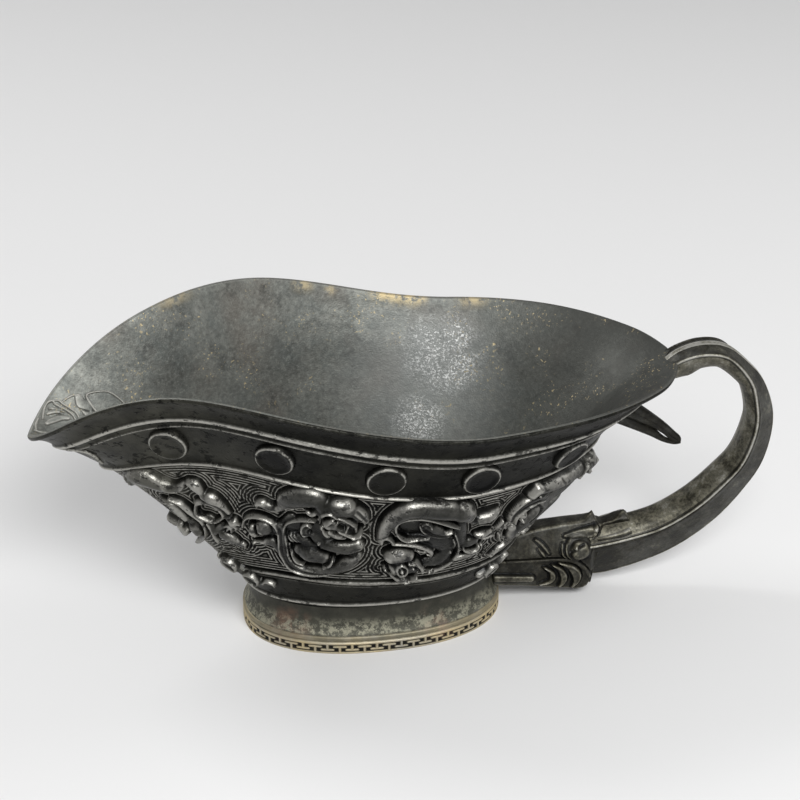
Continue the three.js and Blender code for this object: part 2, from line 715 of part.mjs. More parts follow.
function makeTailCurl(bowlForm) {
  const tip = new THREE.Vector3(tailX + CURL_TIP_REACH, 0, CURL_TIP_HEIGHT);
  const root = wallPoint(Math.PI, 0.32);
  const strand = (drop, y) => {
    const between = (share, fall, across) => {
      return root.clone().lerp(tip, share).add(new THREE.Vector3(0, across, -fall));
    };
    const curve = new THREE.CatmullRomCurve3([
      between(-0.05, -0.6, y),
      between(0.3, drop, y),
      between(0.7, drop, y * 0.5),
      tip,
    ]);
    const line = Array.from({ length: 7 }, (_, i) => ({
      middle: curve.getPoint(i / 6),
      up: new THREE.Vector3(0, -1, 0),
      radius: (CURL_THICKNESS / 2) * along([1, 0.9, 0.65, 0.2], i / 6),
    }));
    return sweep(line, 6);
  };
  return joinAll([strand(1.1, -0.7), strand(1.8, 0.7)]).subtract(bowlForm);
}

// The relief pieces are modelled on the -Y side and mirrored to the other side
const MIRROR = [1, -1, 1];

function addPair(name, body, finish) {
  addPiece(`${name}_front`, body, finish);
  addPiece(`${name}_back`, body.scale(MIRROR), finish);
}

function assemble() {
  const bowlForm = makeBowlForm();
  const footForm = makeFootForm();
  addPiece('bowl', makeBowl(), BRONZE_DARK);
  addPiece('foot_ring', makeFoot(), BRONZE_FOOT);
  addPiece('handle', makeHandle(bowlForm, footForm), BRONZE_WORN);
  addPiece('tail_curl', makeTailCurl(bowlForm), BRONZE_WORN);
  STUD_STATIONS.forEach((station, i) => {
    addPair(`stud_${i + 1}`, makeStud(station).subtract(bowlForm), BRONZE_RELIEF);
  });
  const reliefs = {
    chilong_spout: spoutDragon(),
    chilong_shoulder: shoulderDragon(),
    chilong_flank: flankDragon(),
    chilong_tail: tailDragon(),
    chain_spout: spoutChain(),
    chain_tail: tailChain(),
  };
  for (const [name, bodies] of Object.entries(reliefs)) {
    addPair(name, joinAll(bodies).subtract(bowlForm), BRONZE_RELIEF);
  }
}

assemble();

export default cup;
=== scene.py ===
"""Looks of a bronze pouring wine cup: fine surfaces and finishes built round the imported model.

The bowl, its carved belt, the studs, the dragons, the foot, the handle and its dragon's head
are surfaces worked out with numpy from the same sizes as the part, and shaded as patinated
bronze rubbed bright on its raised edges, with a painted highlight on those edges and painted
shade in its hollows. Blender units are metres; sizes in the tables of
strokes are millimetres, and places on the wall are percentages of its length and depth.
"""

import math

import bmesh
import bpy
import numpy as np
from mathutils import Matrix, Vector


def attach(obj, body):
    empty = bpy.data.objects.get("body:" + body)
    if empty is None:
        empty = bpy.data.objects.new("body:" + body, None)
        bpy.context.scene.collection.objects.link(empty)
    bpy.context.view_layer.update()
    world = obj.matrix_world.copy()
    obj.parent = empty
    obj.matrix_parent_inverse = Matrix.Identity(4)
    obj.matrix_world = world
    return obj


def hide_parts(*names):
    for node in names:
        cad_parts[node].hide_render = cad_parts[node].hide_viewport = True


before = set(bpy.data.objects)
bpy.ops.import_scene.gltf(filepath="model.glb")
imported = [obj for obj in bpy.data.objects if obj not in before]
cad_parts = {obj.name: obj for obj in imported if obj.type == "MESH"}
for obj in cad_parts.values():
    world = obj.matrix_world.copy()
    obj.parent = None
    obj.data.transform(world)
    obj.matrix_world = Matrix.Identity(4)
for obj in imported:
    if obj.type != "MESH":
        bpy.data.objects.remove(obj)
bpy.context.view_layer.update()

bl_info = {
    "name": "Bronze Pouring Cup",
    "version": (1, 0, 0),
    "blender": (4, 5, 0),
    "location": "3D View > Sidebar > Bronze Cup",
    "description": "Builds a bronze pouring cup with dragon reliefs round its packed model",
    "category": "Object",
}

MM = 0.001
BODY = "root"
# Spacing of the points of the carved belt and of the reliefs, in millimetres
CARVED_PITCH = 0.15
RELIEF_PITCH = 0.15

# The plan of the rim, from spout to tail, as shares of its widest half width
PLAN = (0, 0.295, 0.59, 0.955, 0.965, 0.8, 0.43, 0)
SHOULDER_STATION = 0.345
WAIST_STATION = 0.62
OVAL_POWER = 2.25
# Wall profile from neck to rim: pulls of its curve outwards and upwards, at ends and sides
END_PULLS = ((0.24, 0.62), (0.3, 0.93))
SIDE_PULLS = ((0.35, 0.5), (0.2, 0.6))
PROFILE_STEPS = 240


def length_property(name, text, default):
    """A size in metres that a user may change."""
    return bpy.props.FloatProperty(
        name=name, description=text, default=default, min=0.0, unit="LENGTH", precision=5
    )


def colour_property(name, text, default):
    """A linear colour that a user may change."""
    return bpy.props.FloatVectorProperty(
        name=name, description=text, default=default, size=3, min=0.0, max=1.0, subtype="COLOR"
    )


class CupSizes(bpy.types.PropertyGroup):
    """Sizes of the cup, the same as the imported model's."""

    bowl_length: length_property("Bowl length", "Spout tip to the tail of the rim", 0.1546)
    bowl_width: length_property("Bowl width", "Width of the rim where it is widest", 0.07538)
    tip_height: length_property("Spout height", "Height of the spout's tip", 0.0557)
    shoulder_height: length_property("Shoulder height", "Highest point of the rim", 0.077)
    waist_height: length_property("Waist height", "Rim height in the middle", 0.0663)
    tail_height: length_property("Tail height", "Rim height where the handle joins", 0.063)
    lip: length_property("Lip", "Thickness of the metal at the lip", 0.0015)
    wall: length_property("Wall", "Thickness of the wall", 0.0023)
    floor: length_property("Floor", "Thickness of the bowl's floor", 0.003)
    foot_from_spout: length_property("Foot place", "Middle of the foot, from the spout's tip", 0.0801)
    neck_length: length_property("Neck length", "Length of the oval where bowl meets foot", 0.0592)
    neck_width: length_property("Neck width", "Width of that oval", 0.0354)
    foot_height: length_property("Foot height", "Height of the foot ring", 0.012)
    foot_flare: length_property("Foot flare", "How far the foot's edge stands out", 0.0023)
    fret_height: length_property("Fret height", "Height of the fret border", 0.0029)
    first_ridge: length_property("First ridge", "Distance from the rim's edge", 0.0064)
    second_ridge: length_property("Second ridge", "Distance from the rim's edge", 0.0088)
    stud: length_property("Stud", "Diameter of a stud", 0.0097)
    stud_rise: length_property("Stud height", "How far a stud stands out", 0.0013)
    handle_reach: length_property("Handle reach", "How far the handle goes past the rim", 0.0254)
    handle_width: length_property("Handle width", "Width of the strap at its bend", 0.010)
    handle_top_width: length_property("Handle top width", "Width of the strap at the rim", 0.0072)
    jaw_width: length_property("Jaw width", "Width across the jaw plates", 0.0126)
    line_pitch: length_property("Carved line pitch", "Spacing of the carved ground lines", 0.0009)
    line_depth: length_property("Carved line depth", "Depth of the carved ground lines", 0.00036)


class CupColours(bpy.types.PropertyGroup):
    """Colours of the cup's patina and of its surroundings."""

    # Dark patina; through the wear_and_light field it also paints the shade in hollows
    dark: colour_property("Dark bronze", "Patina in the hollows", (0.006, 0.0062, 0.006))
    body: colour_property("Body bronze", "Plain outer wall", (0.0095, 0.0096, 0.0082))
    # Rubbed bronze; through the wear_and_light field it also paints the highlights on raised parts
    rubbed: colour_property("Rubbed bronze", "Edges worn bright", (0.48, 0.47, 0.43))
    inside: colour_property("Inside", "Grey metal inside the bowl", (0.185, 0.19, 0.172))
    handle: colour_property("Handle bronze", "Brown grey of the handle", (0.096, 0.09, 0.067))
    foot: colour_property("Foot patina", "Green brown of the foot", (0.125, 0.123, 0.097))
    gold: colour_property("Worn gold", "Brass colour where the metal is bare", (0.55, 0.45, 0.26))
    red: colour_property("Red patina", "Reddish patches on the foot", (0.36, 0.17, 0.11))
    floor: colour_property("Floor", "Pale floor and backdrop", (0.80, 0.80, 0.80))


def sizes():
    """The cup's sizes."""
    return bpy.context.scene.cup_sizes


def colours():
    """The cup's colours."""
    return bpy.context.scene.cup_colours


# Curves


def ease(t):
    """Smooth step: half a cosine wave from 0 to 1."""
    return (1 - np.cos(np.pi * np.clip(t, 0, 1))) / 2


def along(values, t):
    """Catmull-Rom curve through evenly spaced rows of values, at t from 0 to 1."""
    values = np.asarray(values, float)
    last = len(values) - 1
    place = np.clip(t, 0, 1) * last
    i = np.minimum(np.floor(place).astype(int), last - 1)
    w = place - i
    rows = [values[np.clip(i + k, 0, last)] for k in (-1, 0, 1, 2)]
    if values.ndim > 1:
        w = w[..., None]
    p0, p1, p2, p3 = rows
    v0 = (p2 - p0) / 2
    v1 = (p3 - p1) / 2
    return (2 * p1 - 2 * p2 + v0 + v1) * w**3 + (3 * p2 - 3 * p1 - 2 * v0 - v1) * w**2 + v0 * w + p1


def unit(vectors):
    """Vectors made one long."""
    return vectors / np.linalg.norm(vectors, axis=-1, keepdims=True)


def gaps(points):
    """Distances from each row of points to the next."""
    return np.linalg.norm(np.diff(points, axis=0), axis=-1)


def spout_x():
    """Where the spout's tip is along the cup."""
    return -(sizes().bowl_length + sizes().handle_reach) / 2


def foot_x():
    """Middle of the foot along the cup."""
    return spout_x() + sizes().foot_from_spout


def rim(angle):
    """Edge of the rim: angle 0 is the spout's tip, pi the tail, and -Y lies between them."""
    s = sizes()
    share = np.where(angle <= np.pi, angle / np.pi, 2 - angle / np.pi)
    side = np.where(angle <= np.pi, -1.0, 1.0)
    x = spout_x() + s.bowl_length * ease(share)
    y = side * s.bowl_width / 2 * along(PLAN, share)
    to_waist = (share - SHOULDER_STATION) / (WAIST_STATION - SHOULDER_STATION)
    to_tail = (share - WAIST_STATION) / (1 - WAIST_STATION)
    z = (
        s.tip_height
        + (s.shoulder_height - s.tip_height) * ease(share / SHOULDER_STATION)
        + (s.waist_height - s.shoulder_height) * ease(to_waist)
        + (s.tail_height - s.waist_height) * ease(to_tail)
    )
    return np.stack([x, y, z], -1)


def oval(angle, half_length, half_width, z):
    """Oval a little squarer than an ellipse, round the middle of the foot."""
    cosine = np.cos(angle)
    sine = np.sin(angle)
    x = foot_x() - half_length * np.sign(cosine) * np.abs(cosine) ** (2 / OVAL_POWER)
    y = -half_width * np.sign(sine) * np.abs(sine) ** (2 / OVAL_POWER)
    return np.stack(np.broadcast_arrays(x, y, z), -1)


def pull(t, first, second):
    """Cubic curve from 0 to 1 drawn towards two values."""
    return 3 * (1 - t) ** 2 * t * first + 3 * (1 - t) * t * t * second + t**3


def profile(angle, t):
    """Outer wall at an angle and a parameter that is 0 at the neck and 1 at the rim."""
    s = sizes()
    end = np.cos(angle) ** 2
    out = end * pull(t, *END_PULLS[0]) + (1 - end) * pull(t, *SIDE_PULLS[0])
    up = end * pull(t, *END_PULLS[1]) + (1 - end) * pull(t, *SIDE_PULLS[1])
    neck = oval(angle, s.neck_length / 2, s.neck_width / 2, s.foot_height)
    edge = rim(angle)
    shares = np.stack([out, out, up], -1)
    return neck + (edge - neck) * shares


def wall(angle, share):
    """Outer wall at an angle and a share of the distance from the rim to the neck.

    angle is a row of n values and share an m by n grid; the distance along each profile is
    turned back into its parameter by its table of lengths, all columns laid end to end.
    """
    angle = np.asarray(angle, float)
    share = np.clip(np.atleast_2d(share), 0, 1)
    steps = np.linspace(1, 0, PROFILE_STEPS + 1)
    points = profile(angle[None, :], steps[:, None])
    lengths = np.zeros(points.shape[:2])
    lengths[1:] = np.cumsum(gaps(points), axis=0)
    column = 2.0 * np.arange(len(angle))
    table = (lengths / lengths[-1] + column).T.ravel()
    t = np.interp((share + column).ravel(), table, np.tile(steps, len(angle))).reshape(share.shape)
    return profile(angle[None, :], t)


def wall_depth(angle):
    """Distance along the wall from the rim to the neck."""
    steps = np.linspace(1, 0, PROFILE_STEPS + 1)
    return gaps(profile(np.asarray(angle, float)[None, :], steps[:, None])).sum(0)


def outward(angle, share):
    """Outward direction of the wall, from small steps round it and down it."""
    step = 0.004
    share = np.atleast_2d(share)
    around = wall(angle + step, share) - wall(angle - step, share)
    down = wall(angle, np.minimum(share + step, 1)) - wall(angle, np.maximum(share - step, 0))
    return unit(np.cross(down, around))


# Shares of the wall's depth at which the carved belt and the ridge over the foot lie
BELT_TOP = 0.335
BELT_TOP_RISE = 0.065
BELT_BOTTOM = 0.83
NECK_RIDGE = 0.97


def belt_top(angle):
    """Share of the wall above the carved belt, less near the spout."""
    return BELT_TOP - BELT_TOP_RISE * np.maximum(np.cos(angle), 0) ** 2


# Meshes

# Points closer than this, in metres, are one
WELD_DISTANCE = 2e-6
# Turns a place into the same one on the other side of the cup
OTHER_SIDE = np.array([1, -1, 1])


def make_mesh(name, points, faces, fields=None):
    """Blender object from points, four-sided faces and values kept at the points."""
    points = points.reshape(-1, 3)
    mesh = bpy.data.meshes.new(name)
    mesh.vertices.add(len(points))
    mesh.vertices.foreach_set("co", np.ascontiguousarray(points, np.float32).ravel())
    mesh.loops.add(faces.size)
    mesh.loops.foreach_set("vertex_index", faces.astype(np.int32).ravel())
    mesh.polygons.add(len(faces))
    mesh.polygons.foreach_set("loop_start", np.arange(0, faces.size, 4, dtype=np.int32))
    mesh.polygons.foreach_set("use_smooth", np.ones(len(faces), bool))
    mesh.update(calc_edges=True)
    for field, values in (fields or {}).items():
        attribute = mesh.attributes.new(field, "FLOAT", "POINT")
        attribute.data.foreach_set("value", np.ascontiguousarray(values, np.float32).ravel())
    made = bpy.data.objects.new(name, mesh)
    bpy.context.scene.collection.objects.link(made)
    return made


def grid_faces(rows, columns, wrap_rows=False, wrap_columns=False):
    """Corner numbers of the faces of a grid, which may close on itself either way."""
    r = np.arange(rows if wrap_rows else rows - 1)
    c = np.arange(columns if wrap_columns else columns - 1)
    r, c = np.meshgrid(r, c, indexing="ij")
    below = (r + 1) % rows
    right = (c + 1) % columns
    corners = (r * columns + c, below * columns + c, below * columns + right, r * columns + right)
    return np.stack(corners, -1).reshape(-1, 4)


def cut_away(points, faces, wear_and_light, height, limit):
    """Drops the faces whose height is nowhere over a limit, and the points only they used."""
    faces = faces[(height.ravel()[faces] > limit).any(1)]
    used = np.unique(faces)
    number = np.full(height.size, -1)
    number[used] = np.arange(len(used))
    return points.reshape(-1, 3)[used], number[faces], {"wear_and_light": wear_and_light.ravel()[used]}


def mirrored(points, faces):
    """The same surface on the other side of the cup, still facing out."""
    return points * OTHER_SIDE, faces[:, ::-1]


def add_both_sides(name, points, faces, fields, material, slot, nodes=()):
    """Adds a front surface and its mirror image, and says which nodes they stand for."""
    made = []
    for side, (where, corners) in (("front", (points, faces)), ("back", mirrored(points, faces))):
        piece = make_mesh(f"{name}_{side}", where, corners, fields)
        finish(piece, material, slot, [f"{node}_{side}" for node in nodes])
        made.append(piece)
    return made


def finish(piece, material, slot, nodes=()):
    """Gives a piece its material, body and the nodes that it stands for; slot is not used."""
    piece.data.materials.append(material)
    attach(piece, BODY)
    if nodes:
        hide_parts(*nodes)


def weld(piece):
    """Joins the points of a piece that lie on each other, where a seam or a pole closes."""
    shape = bmesh.new()
    shape.from_mesh(piece.data)
    bmesh.ops.remove_doubles(shape, verts=shape.verts, dist=WELD_DISTANCE)
    shape.to_mesh(piece.data)
    shape.free()


def add_to_handle(name, grid, faces, wear_and_light, material, node="handle"):
    """Adds a piece of the handle or its curl from a grid of points and their rubbing and painted light."""
    piece = make_mesh(name, grid, faces, {"wear_and_light": wear_and_light})
    finish(piece, material, "handle_bronze", [node])
    weld(piece)


# Strokes: the carver's marks, laid on a surface and added up into its relief


def spread_along(values, t):
    """A stroke's radii or rises at parameters t, from one value or one for each of its points."""
    return along(values, t) if np.ndim(values) else np.full(len(t), values, float)


def laid_stroke(points, radii, pieces, place_on):
    """A stroke on its surface, in so many pieces from point to point: the parameters, places
    in space and radii of their ends. place_on turns the stroke's own points into places."""
    t = np.linspace(0, 1, pieces * (len(points) - 1) + 1)
    return t, place_on(along(points, t)).astype(np.float32), spread_along(radii, t)


def distance_to_line(where, line, radii):
    """For each point, its distance to a line in space, the distance over the line's radius
    there, and the share along the line, at whichever stretch gives the smallest ratio."""
    best = np.full(len(where), np.inf, np.float32)
    nearest = np.full(len(where), np.inf, np.float32)
    place = np.zeros(len(where), np.float32)
    spans = max(len(line) - 1, 1)
    for k in range(spans):
        start = line[k]
        span = line[min(k + 1, len(line) - 1)] - start
        length = max(float(span @ span), 1e-12)
        offset = where - start
        t = np.clip(offset @ span / length, 0, 1)
        gap = np.linalg.norm(offset - t[:, None] * span, axis=1)
        radius = radii[k] + (radii[min(k + 1, len(radii) - 1)] - radii[k]) * t
        ratio = gap / radius
        closer = ratio < best
        best[closer] = ratio[closer]
        nearest[closer] = gap[closer]
        place[closer] = (k + t[closer]) / spans
    return nearest, best, place


def smooth_larger(a, b, blend):
    """The larger of two heights, rounded where they cross."""
    overlap = np.maximum(blend - np.abs(a - b), 0)
    return np.maximum(a, b) + overlap * overlap / (4 * blend)


# Height where no stroke reaches, and how far past its radius a stroke is worked out, in millimetres
OUTSIDE = -2.0
REACH = 1.2
# How round a stroke's section is, and how far it melts into what it crosses, in millimetres
SOFTNESS = {"body": 0.46, "cord": 0.42, "slab": 0.2}
BLENDS = {"body": 1.1, "cord": 0.22, "slab": 0.1}
# How steeply the side of a raised stroke goes down under the surface
SIDE_SLOPE = 3
# How fast a line or cut fades away across itself, and how far below the surface it is gone
THREAD_FALL = 2.2
THREAD_DEPTH = 0.6
# Pieces from point to point when a stroke is carved, and when only its outline is asked for
CARVED_PIECES = 6
OUTLINE_PIECES = 3
# Distance given to the outline before any stroke is looked at, in millimetres
FAR_AWAY = 50.0


def relief(where, strokes, place_on):
    """Height over a surface, in millimetres, of a list of strokes at a grid of its points.

    A body, cord or slab is a hump across its line, a slab the flattest; a line or a cut adds
    or takes away a rounded thread on what is already there.
    """
    grid = where.shape[:-1]
    where = where.reshape(-1, 3).astype(np.float32)
    height = np.full(len(where), OUTSIDE, np.float32)
    for kind, points, radii, rises in strokes:
        t, line, radius = laid_stroke(points, radii, CARVED_PIECES, place_on)
        reach = radius.max() + REACH
        low = line.min(0) - reach
        high = line.max(0) + reach
        near = np.flatnonzero(((where > low) & (where < high)).all(1))
        if not len(near):
            continue
        _, ratio, place = distance_to_line(where[near], line, radius)
        rise = np.interp(place, t, spread_along(rises, t))
        if kind in SOFTNESS:
            inside = np.maximum(1 - ratio * ratio, 0) ** SOFTNESS[kind] * rise
            outside = (1 - ratio) * np.interp(place, t, radius) * SIDE_SLOPE
            shape = np.maximum(np.where(ratio < 1, inside, outside), OUTSIDE)
            height[near] = smooth_larger(height[near], shape, BLENDS[kind])
        else:
            thread = rise * np.exp(-THREAD_FALL * ratio * ratio)
            sign = 1 if kind == "line" else -1
            height[near] += sign * thread * np.clip((height[near] + THREAD_DEPTH) / THREAD_DEPTH, 0, 1)
    return height.reshape(grid)


def stroke_edges(where, strokes, place_on):
    """Distance from each point of a grid to the nearest raised stroke's outline, in millimetres."""
    grid = where.shape[:-1]
    where = where.reshape(-1, 3).astype(np.float32)
    edge = np.full(len(where), FAR_AWAY, np.float32)
    for kind, points, radii, _ in strokes:
        if kind in SOFTNESS:
            t, line, radius = laid_stroke(points, radii, OUTLINE_PIECES, place_on)
            gap, _, place = distance_to_line(where, line, radius)
            edge = np.minimum(edge, gap - np.interp(place, t, radius))
    return edge.reshape(grid)


def on_wall(percent):
    """Points in space, in millimetres, for places on the wall in percent."""
    angle = np.pi * percent[:, 0] / 100
    return wall(angle, (percent[:, 1] / 100)[None, :])[0] / MM


# Tables of strokes, each with its kind, the places it runs through, its radius and its height
# or depth in millimetres, the last two one number or one for each place. A place on the wall
# is the percent of the way from spout to tail and the percent of the way down from the rim.

# The dragon on the spout's shoulder: muzzle, knob and haunch, a ring curl, a long whisker and paws
SPOUT_DRAGON = (
    ("body", [(11.8, 32.1), (14.5, 32.1), (16.1, 34.3), (17.2, 37.1), (18.7, 39.4), (20.5, 39.9),
     (22.5, 37.9)], (2.2, 2.8, 2.6, 2.2, 1.8, 1.4, 0.6), (2.2, 2.9, 3, 2.8, 2.4, 2, 1.3)),
    ("body", [(11.8, 32.9)], 1.5, 2.6),
    ("cut", [(13.3, 38.5), (13.1, 40.5), (13.7, 42.1)], 0.3, 0.7),
    ("cut", [(12.1, 30.3), (11.2, 32.8), (10.8, 35.5)], 0.25, 0.5),
    ("line", [(17.6, 31.8), (18.2, 35.1), (18.4, 39.1), (19.8, 40.6)], 0.6, 0.3),
    ("body", [(23.4, 38.2), (24.2, 39.4), (24.3, 42.1)], (1.2, 1.6, 1.3), (2, 2.6, 2.2)),
    ("cut", [(22.5, 40.7), (23, 41.8), (23.5, 43.2)], 0.22, 0.6),
    ("cut", [(22.1, 42.3), (22.5, 43.3), (22.9, 44.4)], 0.22, 0.6),
    ("body", [(24.5, 44.4), (25.6, 45.9), (26.4, 49.1), (26.9, 52.8)], (1.5, 1.8, 1.4, 0.8),
     (2.3, 2.7, 2.2, 1.4)),
    ("cut", [(23.2, 45.9), (24.6, 46.4), (26, 47.8), (26.5, 50.8), (26.2, 53.5)], 0.22, 0.5),
    ("body", [(21.6, 47.4), (23.1, 46.7), (25, 47.8), (25.8, 50.8), (25.7, 54.1)],
     (0.7, 0.8, 0.9, 0.8, 0.7), (1.7, 2, 2, 1.8, 1.6)),
    ("cord", [(20.4, 50.2), (21.6, 47.9), (23.4, 47.1), (25, 48.1), (25.9, 50.9), (25.7, 53.6),
     (24.3, 55.6), (22.5, 56.4), (20.8, 55), (19.8, 52.5), (20.4, 50.2)], 0.42, 2.3),
    ("cord", [(16.8, 45.2), (17.9, 46.9), (18.5, 49.5), (19.2, 52.7), (20.2, 55.6)],
     (0.3, 0.42, 0.45, 0.45, 0.45), 2.1),
    ("body", [(20.5, 54.6), (21.7, 55.3), (22.6, 56.1)], (0.7, 0.9, 0.6), 1.2),
    ("cord", [(16.1, 44.1), (17.6, 46.9), (18.2, 51.1), (19, 54), (19.4, 56.9), (18.4, 61), (16.1, 64.9),
     (12, 68.1), (9.1, 68.8)], (0.35, 0.4, 0.42, 0.42, 0.42, 0.42, 0.4, 0.35, 0.25), 2.3),
    ("body", [(13.1, 45.2), (15, 47.5), (15.2, 51.3), (15.3, 55.1)], (0.7, 1.1, 1.2, 0.8),
     (1.6, 2.3, 2.3, 2.2)),
    ("body", [(4.6, 58.7), (5.9, 60)], (1.4, 1.6), 2.2),
    ("cut", [(5.4, 58.8), (6, 60.8)], 0.3, 0.7),
    ("body", [(10.8, 58.7), (8.3, 64.1)], (1.1, 1.3), 2.6),
    ("body", [(14.8, 60.4), (14.8, 62.7)], (1.6, 1.7), 2.3),
    ("body", [(12.7, 60.2)], 0.8, 3),
    ("cut", [(11.6, 62.5), (6.4, 68.6)], 0.35, 0.9),
    ("body", [(14.7, 58), (15.4, 59.8)], (1.4, 1.4), 1.2),
    ("body", [(26.9, 56.9)], 1.4, 2.3),
    ("cord", [(26.3, 57.6), (25.2, 58.3), (24, 59.3)], (0.5, 0.42, 0.2), 2),
    ("cord", [(26.2, 58), (24.9, 59.8), (23.8, 61.6)], (0.5, 0.42, 0.2), 2.2),
    ("cord", [(26.4, 58.2), (25.6, 60.1), (25.1, 61.9)], (0.5, 0.42, 0.2), 2.2),
    ("cord", [(26.8, 57.9), (26.8, 59.3), (26.7, 60.7)], (0.5, 0.42, 0.2), 2),
    ("cord", [(27.2, 57.2), (27.8, 57.5), (28, 58.5)], (0.5, 0.42, 0.2), 1.8),
    ("body", [(25.9, 54.1), (26.1, 55.7), (26.5, 56.9)], (0.8, 0.9, 1), (1.4, 1.6, 1.8)),
    ("cord", [(20.2, 57.7), (20.1, 60.8), (19.2, 64.4), (19.1, 67.2)], (0.35, 0.42, 0.42, 0.3), 1.9),
    ("body", [(20.4, 59.4), (20.5, 62), (22.1, 60.6), (24, 59.2)], (1, 1.3, 1.2, 1),
     (1.2, 1.5, 1.4, 1.3)),
    ("body", [(20.8, 62.5), (22.5, 64.3), (23.9, 66.4), (24.6, 68.7)], (1.1, 1.6, 1.4, 0.8),
     (1.5, 2, 1.8, 1.1)),
    ("cut", [(21.4, 62.3), (20.1, 64.8), (20.1, 66.1)], 0.3, 0.8),
    ("cord", [(24, 67.6), (24.6, 68.2), (23.8, 70.2)], (0.3, 0.35, 0.2), 1.2),
    ("cord", [(24.8, 67.5), (25.3, 68.3), (24.3, 70.6)], (0.3, 0.35, 0.2), 1.2),
    ("cord", [(25.6, 67.6), (25.8, 68.8), (24.8, 71.1)], (0.3, 0.35, 0.2), 1.1),
)

